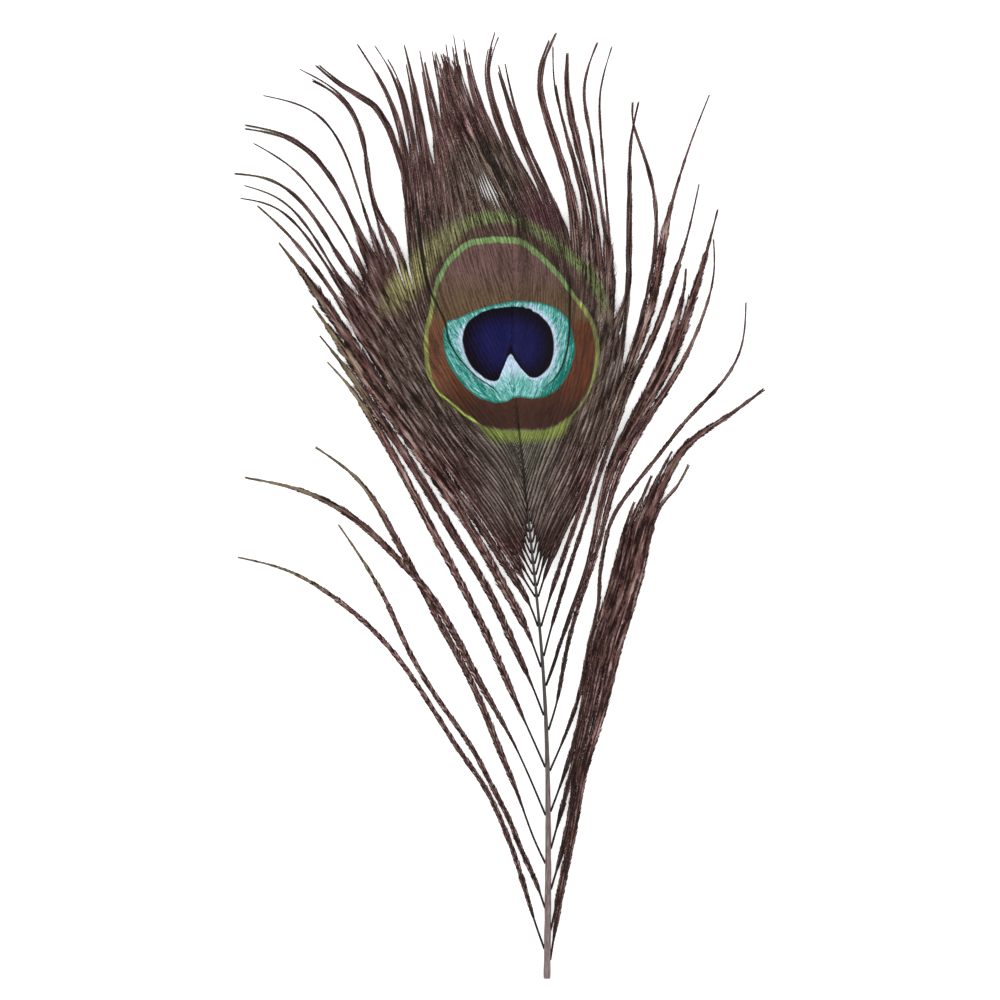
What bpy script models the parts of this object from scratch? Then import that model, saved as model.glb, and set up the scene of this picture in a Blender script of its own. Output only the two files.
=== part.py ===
# A peacock's tail feather with its eye, cut short and lying face up on a flat surface.
#
# The feather's own measures are in millimetres: "across" runs to its right and "along" from
# the cut end of the shaft to the tip. In the model +X is across, +Y is along and +Z is up.
# Barbs are written as routes of (across, along) from near the shaft out to the tip.

import math

import bmesh
import bpy
import numpy
from mathutils import Vector

MM = 0.001

# The place of the cut end, so that the whole feather is centred on the origin.
CUT_END_ACROSS = 12.965
CUT_END_ALONG = -127.545

# Shaft
SHAFT_LENGTH = 199
SHAFT_ROUTE = [(0, 0), (0.3, 45), (-0.4, 72), (-2.7, 102), (-5, 124), (-7.3, 148), (-9.3, 168),
               (-8, SHAFT_LENGTH)]
SHAFT_WIDTHS = [(0, 1.9), (45, 1.6), (72, 1.3), (102, 1.0), (148, 0.8), (SHAFT_LENGTH, 0.5)]
SHAFT_RINGS = 30
SHAFT_SIDES = 8
SHAFT_DEPTH = 0.95          # the shaft is a little wider than it is deep
FLAT_LENGTH = 42            # this much of the cut end lies flat on the surface
ARCH_HEIGHT = 4.5           # and from there the shaft rises to this under the eye
ARCH_TOP = 150

# Loose barbs
CLEARANCE = 0.3             # between a barb or a vane and the shaft
BARB_WIDTH = 0.85
BARB_DEPTH = 0.45
TIP_SHARE = 0.45            # a barb's tip is this share of its full width
BARB_RINGS = 13
BARB_SIDES = 6
BARB_LIFT = 1.1             # a barb's bow over the surface, half way out
OTHER_LIFTS = {"barb_left_3": 0.6, "barb_left_4": 2.6}     # the fourth crosses over the third

# The left side's loose barbs: where each leaves the shaft, and its route.
LOOSE_LEFT = [
    (8, [(-3, 14.5), (-8, 31), (-11.7, 41), (-16.7, 51.5), (-22.5, 60), (-30, 71.5), (-44, 91),
         (-57, 102.5), (-70, 110), (-83, 113.5)]),
    (19, [(-3, 26), (-7, 35), (-9.8, 42), (-14.3, 51), (-19.8, 61.5), (-27, 72), (-33, 81), (-38, 90),
          (-43, 101), (-48, 110), (-56, 122)]),
    (31, [(-3, 36.5), (-8, 50), (-12.5, 61), (-17.3, 73), (-24, 87), (-29.5, 97), (-34, 106), (-41, 119),
          (-51, 134.5), (-62, 143)]),
    (44, [(-5, 55), (-10.5, 66.5), (-17, 78), (-22, 87.5), (-27.5, 97.5), (-33, 105.5), (-38, 111),
          (-46, 119), (-54, 125.5), (-66, 131.5), (-81, 135)]),
    (57, [(-4, 65), (-8.5, 75), (-15, 90), (-24, 108), (-33, 125), (-42, 142), (-46.5, 149.5), (-52, 158),
          (-59, 166)]),
    (71, [(-4, 79), (-9, 90), (-15.5, 104), (-24, 118), (-31.5, 130.5), (-39, 142.5), (-44.5, 150.5),
          (-52, 161.5), (-61, 173)]),
    (84, [(-5, 93), (-11, 104.5), (-19.5, 119.5), (-27.5, 131.5), (-36, 144), (-43, 153.5), (-52, 166),
          (-63, 181)]),
    (95, [(-5, 101.5), (-9.5, 109), (-18, 122), (-26, 133.5), (-34, 145), (-42, 156), (-50, 167.5),
          (-58, 179), (-65, 189), (-72, 198)]),
]

# The right side's bundle: barbs that cling together in a band inside one edge. For each, where
# it leaves the shaft, its place in the band counted from the edge, and its route off the band.
BUNDLE_EDGE = [(1.6, 10), (4.5, 26), (7.4, 40), (9.3, 51), (11.3, 60), (14.5, 70), (17.2, 81), (19.8, 91),
               (22.6, 100), (24.9, 108), (26.7, 116), (28.6, 123)]
BUNDLE_PITCH = 1.45
BUNDLE_STOPS = 11
BUNDLE = [
    (5, 0, [(31, 128), (34.5, 132), (38, 138)]),
    (13, 1, [(28.8, 127.5), (32.8, 136.5), (38, 144), (47, 150.5), (58, 158.5)]),
    (24, 3, [(27, 128.2), (30.2, 135.5), (33.5, 141.7)]),
    (35, 4, [(25.2, 128.5), (28, 135)]),
    (45, 5, [(23.4, 128)]),
    (56, 6, [(13.9, 101.5), (14.2, 108), (15.2, 115), (17, 122.5), (22, 131), (30, 141), (38, 151),
             (47, 160.5), (52, 169), (53.7, 182)]),
]

# The right side's other loose barbs.
LOOSE_RIGHT = [
    (67, [(2.5, 74), (4.6, 84), (7.5, 94.5), (11, 105), (13.6, 114), (15.8, 124), (18.9, 135), (25, 147.5),
          (31, 157), (37.5, 168), (42.5, 180), (45, 190), (45, 199)]),
    (79, [(2, 86), (5.4, 95.5), (8.9, 105), (12, 115), (14.2, 125), (17.4, 136.5), (23.3, 148.5),
          (29, 158.5), (34.5, 169.5), (38.8, 182), (42.5, 194), (46, 207)]),
    (87, [(0.8, 93.5), (3.6, 103), (7, 113), (10.5, 123), (14, 134.5), (20.3, 147.5), (26.5, 160),
          (31, 171.5), (34.5, 184), (37.5, 198), (41, 214)]),
    (95, [(0.3, 101.5), (3.5, 111), (7.7, 122), (12, 134.3), (18, 148), (24, 161), (27.5, 172), (29.8, 185),
          (31.4, 198), (34.5, 212), (39, 226), (43.7, 238)]),
]

# Vanes
VANE_THICKNESS = 0.5
LOCK_HALF_WIDTH = 1.1       # half the width of a free lock of barbs
LOCK_TIP_SHARE = 0.25
LOCK_GAP = 0.35             # between locks that have come apart
EDGE_HALF_WIDTH = 0.5       # beyond the lowest barb of a vane
LOCK_RINGS = 18

# Where the two vanes meet above the end of the shaft.
SEAM_ROUTE = [(-9, 203), (-14, 214), (-19.3, 225), (-24, 236), (-28, 249)]

# Locks of barbs: where each leaves the shaft, how much of its length holds to the next lock
# inwards, and its route.
LOCKS_LEFT = [
    (103, 0.72, [(-12, 117), (-23, 133.5), (-35, 150.5), (-50, 173.5), (-57, 184), (-64, 193.5),
                 (-71, 201.5), (-78, 208)]),
    (107, 0.72, [(-12, 121), (-22.5, 136.5), (-34, 153.5), (-44, 169), (-52, 181.5), (-59, 192.5),
                 (-65.5, 202), (-73, 209), (-82, 212)]),
    (111, 0.7, [(-12, 125.5), (-22, 139.5), (-33, 156), (-42, 171), (-49.5, 184), (-54.5, 192), (-60, 201),
                (-66, 209), (-74, 215), (-84, 217)]),
    (115, 0.66, [(-12, 129.5), (-22.5, 143.5), (-32, 158.5), (-40.5, 173.5), (-48, 187.5), (-54.5, 200.5),
                 (-60, 209.5), (-67, 218.5), (-78, 226.5)]),
    (119, 0.64, [(-12, 133.5), (-22, 146), (-31, 160.5), (-39, 175.5), (-46, 190), (-51.5, 202.5),
                 (-56.5, 213), (-61.5, 220.5), (-69, 226.7), (-81, 230)]),
    (123, 0.62, [(-12, 137), (-21.5, 149), (-30, 162.5), (-37.5, 177.5), (-43.5, 191), (-48, 203),
                 (-52, 214), (-56, 223.5), (-63, 232), (-76.5, 236)]),
    (127, 0.56, [(-12, 140.5), (-21, 151.5), (-29, 164.5), (-36, 179), (-40.8, 191.5), (-45, 203),
                 (-48, 215), (-50, 227), (-55, 236.5), (-67, 244)]),
    (131, 0.74, [(-12.5, 144), (-20.5, 154), (-28, 166.5), (-34, 180), (-37.5, 192.5), (-39.5, 205),
                 (-40.7, 217), (-42.5, 228), (-48, 237), (-61.5, 246)]),
    (135, 0.8, [(-12.5, 147.5), (-20, 157), (-27, 168.5), (-32, 181), (-35, 193.5), (-36.5, 206),
                (-38, 219), (-40, 230), (-44, 240), (-51, 251.5)]),
    (140, 0.86, [(-13, 151.5), (-19.5, 160.5), (-25.3, 171), (-29.7, 183), (-32.3, 195.5), (-34, 208),
                 (-35.5, 221), (-38, 234), (-41.5, 244), (-46, 251.5)]),
    (147, 0.9, [(-13.5, 158), (-18.5, 166), (-23.2, 176), (-26.8, 187), (-29.3, 198.5), (-31, 210.5),
                (-33, 223), (-35.2, 236), (-38.5, 251.5)]),
    (157, 0.92, [(-13, 167), (-17, 175), (-20.5, 184.5), (-23.5, 195), (-25.8, 207), (-28, 220), (-31, 234),
                 (-34, 250)]),
    (171, 0.9, [(-12, 180), (-14.5, 189), (-17, 199), (-20, 210), (-23.5, 222), (-27.5, 235), (-31, 250)]),
]
LOCKS_RIGHT = [
    (103, 0.56, [(1.5, 114.5), (8, 128.5), (14.5, 142), (20.3, 155.5), (24.4, 169.5), (27, 184),
                 (28.7, 198), (28, 212)]),
    (107, 0.56, [(0.5, 118), (6.5, 131), (12.7, 144.5), (17.7, 157.5), (21.3, 171), (23, 185), (22.8, 199),
                 (22.4, 213), (22.8, 225), (25, 236)]),
    (111, 0.66, [(0, 121.5), (5.5, 133.5), (11, 146.5), (15.3, 159), (18.2, 172.5), (19, 187), (18.3, 201),
                 (17, 214), (15.2, 227), (15.4, 240), (19, 251)]),
    (115, 0.7, [(-0.5, 125.5), (4.5, 136.5), (9.3, 148.5), (13.2, 161), (15.6, 174.5), (16.2, 188),
                (15.4, 202), (14, 215), (12.8, 228), (12.7, 240), (14.5, 252)]),
    (119, 0.66, [(-1, 129.5), (3.5, 140), (7.9, 151), (11.2, 163), (13.2, 176), (13.4, 189), (12.3, 203),
                 (10.7, 216), (9.6, 229), (9.5, 240), (11, 248.5)]),
    (124, 0.64, [(-1.5, 134), (2.5, 143.5), (6.3, 154), (9.1, 165.5), (10.6, 178), (10.5, 191), (9, 204.5),
                 (7.2, 218), (5.8, 231), (5, 241), (5.3, 249.5)]),
    (129, 0.6, [(-2, 139), (1.3, 147.5), (4.7, 157.5), (7, 168.5), (8, 180.5), (7.2, 193), (5, 207),
                (2.4, 220), (-0.2, 232), (-1.7, 243), (2, 255)]),
    (135, 0.62, [(-2.5, 145), (0.2, 153), (2.9, 162), (4.7, 172), (5.2, 184), (4, 196), (0.8, 209),
                 (-4.3, 221), (-9, 233), (-12.8, 246)]),
    (142, 0.76, [(-3.2, 151.5), (-1, 159.5), (1, 168.5), (2.1, 178.5), (1.9, 189.5), (-0.2, 201),
                 (-4.7, 213), (-10.3, 224), (-14.5, 235), (-16.3, 245), (-14.3, 255)]),
    (151, 0.85, [(-4.2, 160.5), (-2.6, 169), (-1.4, 178.5), (-1.5, 189), (-3.8, 201), (-8.6, 213),
                 (-14, 225), (-18.5, 236), (-21.2, 246), (-22.5, 253)]),
    (163, 0.9, [(-6.2, 173), (-5.2, 182.5), (-5.3, 192), (-7, 202), (-11.5, 213), (-17, 225), (-21.7, 237),
                (-25.5, 254)]),
]


def along_route(points, count):
    """Return count points spaced evenly along one smooth curve through the points."""
    knots = numpy.array([tuple(point) for point in points], dtype=float)
    reach = numpy.concatenate(([0], numpy.cumsum(numpy.linalg.norm(numpy.diff(knots, axis=0), axis=1))))
    gaps = numpy.diff(reach)
    # A natural cubic spline: the bends at the knots that make the slopes run on.
    system = numpy.eye(len(knots))
    wanted = numpy.zeros((len(knots), 2))
    for index in range(1, len(knots) - 1):
        before, after = gaps[index - 1:index + 1]
        system[index, index - 1:index + 2] = (before, 2 * (before + after), after)
        slope_in = (knots[index] - knots[index - 1]) / before
        slope_out = (knots[index + 1] - knots[index]) / after
        wanted[index] = 6 * (slope_out - slope_in)
    bends = numpy.linalg.solve(system, wanted)
    fine = []
    for place_along in numpy.linspace(0, reach[-1], 20 * len(knots)):
        index = min(int(numpy.searchsorted(reach, place_along, side="right")) - 1, len(gaps) - 1)
        gap = gaps[index]
        after = place_along - reach[index]
        before = reach[index + 1] - place_along
        fine.append((bends[index] * before ** 3 + bends[index + 1] * after ** 3) / (6 * gap)
                    + (knots[index] / gap - bends[index] * gap / 6) * before
                    + (knots[index + 1] / gap - bends[index + 1] * gap / 6) * after)
    fine = numpy.array(fine)
    length = numpy.concatenate(([0], numpy.cumsum(numpy.linalg.norm(numpy.diff(fine, axis=0), axis=1))))
    stops = numpy.linspace(0, length[-1], count)
    across = numpy.interp(stops, length, fine[:, 0])
    along = numpy.interp(stops, length, fine[:, 1])
    return [Vector(pair) for pair in zip(across, along)]


def read_off(table, at):
    """Read a value off a list of (place, value) with straight runs between."""
    for (low, low_value), (high, high_value) in zip(table, table[1:]):
        if at <= high:
            return low_value + (high_value - low_value) * (at - low) / (high - low)
    return table[-1][1]


def ease(share):
    """Go from 0 to 1 with a soft start and a soft end."""
    share = min(max(share, 0.0), 1.0)
    return share * share * (3 - 2 * share)


SHAFT_LINE = along_route(SHAFT_ROUTE, SHAFT_RINGS)


def shaft_across(along):
    """Return where the middle of the shaft, or the seam above it, lies across."""
    return read_off([(point.y, point.x) for point in SHAFT_LINE], along)


def shaft_underside(along):
    """Return how high the shaft's underside is above the surface."""
    return ARCH_HEIGHT * ease((along - FLAT_LENGTH) / (ARCH_TOP - FLAT_LENGTH))


def beside_shaft(along, side):
    """Return the point where a barb leaves the shaft on one side (-1 left, 1 right)."""
    half_width = read_off(SHAFT_WIDTHS, along) / 2
    return (shaft_across(along) + side * (half_width + CLEARANCE), along)


def place(across, along, height):
    """Turn feather measures in millimetres into a point of the model in metres."""
    return Vector((across + CUT_END_ACROSS, along + CUT_END_ALONG, height)) * MM


def sideways(points, index):
    """Return the direction square to a line of points, to the right of its run."""
    before = points[max(index - 1, 0)]
    after = points[min(index + 1, len(points) - 1)]
    run = (after - before).normalized()
    return Vector((run.y, -run.x))


def feather_material(name, colour, roughness):
    """Return a plain horn-like material."""
    material = bpy.data.materials.new(name)
    material.use_nodes = True
    shader = material.node_tree.nodes["Principled BSDF"]
    shader.inputs["Base Color"].default_value = (*colour, 1)
    shader.inputs["Roughness"].default_value = roughness
    shader.inputs["Metallic"].default_value = 0.0
    return material


def add_object(name, mesh_builder, material, smooth=True):
    """Make one named object from a filled bmesh."""
    bmesh.ops.recalc_face_normals(mesh_builder, faces=mesh_builder.faces)
    mesh = bpy.data.meshes.new(name)
    mesh_builder.to_mesh(mesh)
    mesh_builder.free()
    if smooth:
        mesh.shade_smooth()
        mesh.set_sharp_from_angle(angle=math.radians(40))
    mesh.materials.append(material)
    piece = bpy.data.objects.new(name, mesh)
    bpy.context.scene.collection.objects.link(piece)
    return piece


def loft(rings):
    """Join rings of points into one closed tube with flat ends."""
    builder = bmesh.new()
    loops = []
    for ring in rings:
        loops.append([builder.verts.new(point) for point in ring])
    sides = len(loops[0])
    for ring, following in zip(loops, loops[1:]):
        for index in range(sides):
            after = (index + 1) % sides
            builder.faces.new((ring[index], ring[after], following[after], following[index]))
    builder.faces.new(reversed(loops[0]))
    builder.faces.new(loops[-1])
    return builder


def make_shaft(material):
    """The rachis: round above, flat below, thinning towards the eye and arched under it."""
    rings = []
    for index, point in enumerate(SHAFT_LINE):
        width = read_off(SHAFT_WIDTHS, point.y)
        depth = width * SHAFT_DEPTH
        right = sideways(SHAFT_LINE, index)
        underside = shaft_underside(point.y)
        ring = []
        for corner in range(SHAFT_SIDES):
            angle = 2 * math.pi * (corner + 0.5) / SHAFT_SIDES
            spot = point + right * (math.cos(angle) * width / 2)
            # The lowest two corners of every ring lie on the underside.
            rise = (math.sin(angle) / math.cos(math.pi / SHAFT_SIDES) + 1) / 2
            ring.append(place(spot.x, spot.y, underside + depth * rise))
        rings.append(ring)
    return add_object("shaft", loft(rings), material)


def make_barb(name, root, side, route, material):
    """One loose barb: a flattened stalk that bows over the surface and rests on its tip."""
    line = along_route([beside_shaft(root, side)] + route, BARB_RINGS)
    lift = OTHER_LIFTS.get(name, BARB_LIFT)
    start_height = shaft_underside(root) + read_off(SHAFT_WIDTHS, root) * SHAFT_DEPTH / 2
    rings = []
    for index, point in enumerate(line):
        share = index / (BARB_RINGS - 1)
        size = 1 - (1 - TIP_SHARE) * share ** 2
        depth = BARB_DEPTH * size
        middle = start_height * (1 - ease(share)) + depth / 2 * ease(share) + lift * math.sin(math.pi * share)
        right = sideways(line, index)
        ring = []
        for corner in range(BARB_SIDES):
            angle = 2 * math.pi * corner / BARB_SIDES
            spot = point + right * (math.cos(angle) * BARB_WIDTH * size / 2)
            height = middle + math.sin(angle) / math.sin(math.pi / 3) * depth / 2
            ring.append(place(spot.x, spot.y, height))
        rings.append(ring)
    return add_object(name, loft(rings), material)


def bundle_route(root, rank, ending):
    """A bundled barb's route: out to its own place in the band, along it, and off it."""
    edge = along_route(BUNDLE_EDGE, BUNDLE_STOPS)
    route = []
    for index, point in enumerate(edge):
        spot = point - sideways(edge, index) * BUNDLE_PITCH * rank
        clear_of_shaft = spot.x - beside_shaft(spot.y, 1)[0] > 1
        if clear_of_shaft and root + 4 < spot.y < ending[0][1] - 3:
            route.append((spot.x, spot.y))
    return route + ending


def lock_edges(lines, joins, seam, side):
    """Work out each lock's two edges, shared with the next lock where the two hold together."""
    last = LOCK_RINGS - 1
    outer_edges = []
    inner_edges = []
    for index, line in enumerate(lines):
        outer = []
        inner = []
        inward = lines[index + 1] if index + 1 < len(lines) else seam
        outward = lines[index - 1] if index else None
        for ring in range(LOCK_RINGS):
            toward = sideways(line, ring) * -side
            taper = 1 - (1 - LOCK_TIP_SHARE) * (ring / last) ** 3
            free_half = LOCK_HALF_WIDTH * taper
            near = min((line[ring] - point).length for point in inward)
            half_in = min(free_half, (near - LOCK_GAP) / 2)
            inner.append(line[ring] + toward * half_in)
            if outward is None:
                outer.append(line[ring] - toward * min(EDGE_HALF_WIDTH, free_half))
            else:
                near = min((line[ring] - point).length for point in outward)
                outer.append(line[ring] - toward * min(free_half, (near - LOCK_GAP) / 2))
        outer_edges.append(outer)
        inner_edges.append(inner)
    for index, share in enumerate(joins):
        for ring in range(int(share * last) + 1):
            if index + 1 < len(lines):
                shared = (lines[index][ring] + lines[index + 1][ring]) / 2
                inner_edges[index][ring] = shared
                outer_edges[index + 1][ring] = shared
            else:
                inner_edges[index][ring] = seam[ring]
    return outer_edges, inner_edges


def make_vane(name, locks, side, material):
    """One vane: a thin web beside the shaft, parted into locks of barbs towards its edge."""
    lines = [along_route([beside_shaft(root, side)] + route, LOCK_RINGS) for root, _, route in locks]
    last_root = locks[-1][0]
    seam_start = last_root + 0.5 * (last_root - locks[-2][0])
    flank_stops = (seam_start, (seam_start + SHAFT_LENGTH) / 2, SHAFT_LENGTH - 2)
    flank = [beside_shaft(along, side) for along in flank_stops]
    above = [(x + side * LOCK_GAP / 2, y) for x, y in SEAM_ROUTE]
    seam = along_route(flank + above, LOCK_RINGS)
    outer_edges, inner_edges = lock_edges(lines, [share for _, share, _ in locks], seam, side)

    builder = bmesh.new()
    made = {}

    def corner(point, root, ring):
        key = (round(point.x, 4), round(point.y, 4))
        if key not in made:
            height = (shaft_underside(root) + CLEARANCE) * (1 - ease(ring / (LOCK_RINGS - 1)))
            made[key] = builder.verts.new(place(point.x, point.y, height))
        return made[key]

    for (root, _, _), outer, inner in zip(locks, outer_edges, inner_edges):
        for ring in range(LOCK_RINGS - 1):
            corners = [corner(outer[ring], root, ring), corner(inner[ring], root, ring),
                       corner(inner[ring + 1], root, ring + 1), corner(outer[ring + 1], root, ring + 1)]
            builder.faces.new(corners)
    raised = bmesh.ops.extrude_face_region(builder, geom=builder.faces[:])
    tops = [item for item in raised["geom"] if isinstance(item, bmesh.types.BMVert)]
    bmesh.ops.translate(builder, verts=tops, vec=(0, 0, VANE_THICKNESS * MM))
    return add_object(name, builder, material, smooth=False)


def main():
    for old in list(bpy.data.objects):
        bpy.data.objects.remove(old, do_unlink=True)

    horn = feather_material("shaft_horn", (0.16, 0.11, 0.10), 0.45)
    barb_brown = feather_material("barb_brown", (0.07, 0.035, 0.03), 0.6)
    vane_green = feather_material("vane_green_brown", (0.09, 0.07, 0.04), 0.55)

    make_shaft(horn)
    for number, (root, route) in enumerate(LOOSE_LEFT, 1):
        make_barb(f"barb_left_{number}", root, -1, route, barb_brown)
    bundled = [(root, bundle_route(root, rank, ending)) for root, rank, ending in BUNDLE]
    for number, (root, route) in enumerate(bundled + LOOSE_RIGHT, 1):
        make_barb(f"barb_right_{number}", root, 1, route, barb_brown)
    make_vane("vane_left", LOCKS_LEFT, -1, vane_green)
    make_vane("vane_right", LOCKS_RIGHT, 1, vane_green)


main()
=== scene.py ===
import math
import random
from types import SimpleNamespace

import bmesh
import bpy
import numpy as np
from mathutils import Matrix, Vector


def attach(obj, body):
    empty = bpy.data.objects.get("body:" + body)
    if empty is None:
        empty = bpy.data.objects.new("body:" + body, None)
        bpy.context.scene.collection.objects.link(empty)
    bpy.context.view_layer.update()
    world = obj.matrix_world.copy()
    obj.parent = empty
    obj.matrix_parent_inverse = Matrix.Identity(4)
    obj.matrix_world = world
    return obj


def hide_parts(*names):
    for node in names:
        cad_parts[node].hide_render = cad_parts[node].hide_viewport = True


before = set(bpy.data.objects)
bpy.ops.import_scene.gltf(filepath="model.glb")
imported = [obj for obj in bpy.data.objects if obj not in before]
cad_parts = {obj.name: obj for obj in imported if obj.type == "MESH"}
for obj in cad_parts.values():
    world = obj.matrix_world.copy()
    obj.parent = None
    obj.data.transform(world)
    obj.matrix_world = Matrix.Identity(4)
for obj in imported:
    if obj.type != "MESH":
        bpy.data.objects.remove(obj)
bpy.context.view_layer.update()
print(f"frame loaded: {len(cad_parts)} nodes")

# Places on the feather are (across, along) in millimetres: across runs to its right and along
# from the cut end of the shaft to the tip. Heights are above the floor.
mm = 0.001
random.seed(11)


# where the shaft's cut end lies in the frame, in millimetres
def findCutEnd():
    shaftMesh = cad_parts["shaft"].data
    corners = {tuple(round(value / mm, 3) for value in vertex.co) for vertex in shaftMesh.vertices}
    low = min(corner[1] for corner in corners)
    ring = [corner for corner in corners if corner[1] < low + 0.1]
    return sum(corner[0] for corner in ring) / len(ring), sum(corner[1] for corner in ring) / len(ring)


cutAcross, cutAlong = findCutEnd()


def smoothStep(share):
    share = np.clip(share, 0.0, 1.0)
    return share * share * (3 - 2 * share)


# points spaced evenly along one smooth curve (a natural cubic spline) through a route's points
def smoothRoute(points, count):
    knots = np.array(points, dtype=float)
    reach = np.concatenate(([0], np.cumsum(np.linalg.norm(np.diff(knots, axis=0), axis=1))))
    gaps = np.diff(reach)
    system = np.eye(len(knots))
    wanted = np.zeros((len(knots), 2))
    for i in range(1, len(knots) - 1):
        before, after = gaps[i - 1:i + 1]
        system[i, i - 1:i + 2] = (before, 2 * (before + after), after)
        wanted[i] = 6 * ((knots[i + 1] - knots[i]) / after - (knots[i] - knots[i - 1]) / before)
    bends = np.linalg.solve(system, wanted)
    spot = np.linspace(0, reach[-1], 20 * len(knots))
    i = np.clip(np.searchsorted(reach, spot, side="right") - 1, 0, len(gaps) - 1)
    gap = gaps[i][:, None]
    after = (spot - reach[i])[:, None]
    before = (reach[i + 1] - spot)[:, None]
    fine = (bends[i] * before ** 3 + bends[i + 1] * after ** 3) / (6 * gap)
    fine += (knots[i] / gap - bends[i] * gap / 6) * before
    fine += (knots[i + 1] / gap - bends[i + 1] * gap / 6) * after
    length = np.concatenate(([0], np.cumsum(np.linalg.norm(np.diff(fine, axis=0), axis=1))))
    stops = np.linspace(0, length[-1], count)
    return np.column_stack([np.interp(stops, length, fine[:, k]) for k in (0, 1)])


def lengthOf(line):
    return float(np.sum(np.linalg.norm(np.diff(line, axis=0), axis=1)))


# unit vectors to the right of a line's run, one for each point
def rightOf(line):
    run = np.gradient(line, axis=0)
    run /= np.linalg.norm(run, axis=1)[:, None] + 1e-9
    return np.column_stack([run[:, 1], -run[:, 0]])


shaftDesign = {
    "route": [(0, 0), (0.3, 45), (-0.4, 72), (-2.7, 102), (-5, 124), (-7.3, 148), (-9.3, 168), (-8, 199)],
    "widths": [(0, 1.9), (45, 1.6), (72, 1.3), (102, 1.0), (148, 0.8), (199, 0.5)],
    "depth": 0.95,            # share of the width
    "flatLength": 42,
    "archTop": 150,
    "archHeight": 4.5,
}
shaftLine = smoothRoute(shaftDesign["route"], 120)


def readOff(table, at):
    places, values = zip(*table)
    return np.interp(at, places, values)


def shaftAcross(along):
    return np.interp(along, shaftLine[:, 1], shaftLine[:, 0])


def shaftUnderside(along):
    rise = (along - shaftDesign["flatLength"]) / (shaftDesign["archTop"] - shaftDesign["flatLength"])
    return shaftDesign["archHeight"] * smoothStep(rise)


def shaftWidth(along):
    return readOff(shaftDesign["widths"], along)


# add a node, set its settings, and feed its inputs with values or other nodes' outputs
def put(tree, kind, inputs=None, **settings):
    node = tree.nodes.new(kind)
    for name, value in settings.items():
        setattr(node, name, value)
    for key, value in (inputs or {}).items():
        if isinstance(value, bpy.types.NodeSocket):
            tree.links.new(value, node.inputs[key])
        else:
            node.inputs[key].default_value = value
    return node


def calc(tree, operation, *values):
    return put(tree, "ShaderNodeMath", dict(enumerate(values)), operation=operation).outputs[0]


def vectorCalc(tree, operation, *values):
    node = put(tree, "ShaderNodeVectorMath", dict(enumerate(values)), operation=operation)
    return node.outputs["Value" if operation in ("LENGTH", "DOT_PRODUCT", "DISTANCE") else "Vector"]


def scaled(tree, vector, factor):
    return put(tree, "ShaderNodeVectorMath", {0: vector, "Scale": factor}, operation="SCALE").outputs[0]


# masks and numbers multiplied together
def times(tree, first, *others):
    for other in others:
        first = calc(tree, "MULTIPLY", first, other)
    return first


def timesPlus(tree, value, factor, more):
    return calc(tree, "MULTIPLY_ADD", value, factor, more)


def awayFrom(tree, value, middle):
    return calc(tree, "ABSOLUTE", calc(tree, "SUBTRACT", value, middle))


# 0 below low and 1 above high, with soft ends; high may lie below low
def step(tree, value, low, high):
    node = put(tree, "ShaderNodeMapRange", {"Value": value}, interpolation_type="SMOOTHSTEP")
    if low < high:
        ends = (low, high, 0.0, 1.0)
    else:
        ends = (high, low, 1.0, 0.0)
    for socket, end in zip(("From Min", "From Max", "To Min", "To Max"), ends):
        node.inputs[socket].default_value = end
    return node.outputs["Result"]


def addNoise(tree, place, scale, detail=2.0):
    return put(tree, "ShaderNodeTexNoise", {"Vector": place, "Scale": scale, "Detail": detail}).outputs[0]


def mixValue(tree, factor, base, top):
    return put(tree, "ShaderNodeMix", {0: factor, 2: base, 3: top}, data_type="FLOAT").outputs[0]


def mixColour(tree, factor, base, top, blend="MIX"):
    node = put(tree, "ShaderNodeMix", {0: factor, 6: base, 7: top}, data_type="RGBA", blend_type=blend)
    return node.outputs[2]


barbDesign = {
    "thinnestWeb": 0.03,
    "shortestReach": 0.12,
    "traits": ("quill", "web", "reach", "lean", "tilt", "tone", "share", "span", "column", "columns"),
}


# name a tree's inputs or outputs, with the last word of each socket's type
def addSockets(tree, direction, sockets):
    for label, kind in sockets.items():
        tree.interface.new_socket(name=label, in_out=direction, socket_type="NodeSocket" + kind)


# read and store the values that a barb's points carry
def trait(tree, name):
    return put(tree, "GeometryNodeInputNamedAttribute", {"Name": name}, data_type="FLOAT").outputs[0]


def keep(tree, geometry, name, value, kind="FLOAT", domain="POINT"):
    return put(tree, "GeometryNodeStoreNamedAttribute", {
        "Geometry": geometry, "Name": name, "Value": value}, data_type=kind, domain=domain).outputs[0]


def chance(tree, given, low, high, extra):
    seed = calc(tree, "ADD", given["Seed"], float(extra))
    return put(tree, "FunctionNodeRandomValue", {"Seed": seed, 2: low, 3: high}, data_type="FLOAT").outputs[1]


# the barbs' lines, without the points where a trait is too small to show
def linesWith(tree, curves, name, smallest):
    hidden = calc(tree, "LESS_THAN", trait(tree, name), smallest * mm)
    return put(tree, "GeometryNodeDeleteGeometry", {
        "Geometry": curves, "Selection": hidden}, domain="POINT").outputs[0]


# a closed sleeve of a small profile, tagged with how far across the barb each corner is
def sleeve(tree, lines, profile, size, isStalk):
    spot = put(tree, "ShaderNodeSeparateXYZ", {0: put(tree, "GeometryNodeInputPosition").outputs[0]})
    tagged = keep(tree, profile, "acrossBarb", spot.outputs[0])
    mesh = put(tree, "GeometryNodeCurveToMesh", {
        "Curve": lines, "Profile Curve": tagged, "Scale": size, "Fill Caps": True}).outputs[0]
    # stalks and webs take the middle fleck, so they get no painted light of their own
    return keep(tree, keep(tree, mesh, "isStalk", isStalk), "fleck", 0.5)


def growStalks(tree, curves):
    ring = put(tree, "GeometryNodeCurvePrimitiveCircle", {"Resolution": 4, "Radius": 1.0}, mode="RADIUS")
    return sleeve(tree, curves, ring.outputs[0], trait(tree, "quill"), 1.0)


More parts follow.
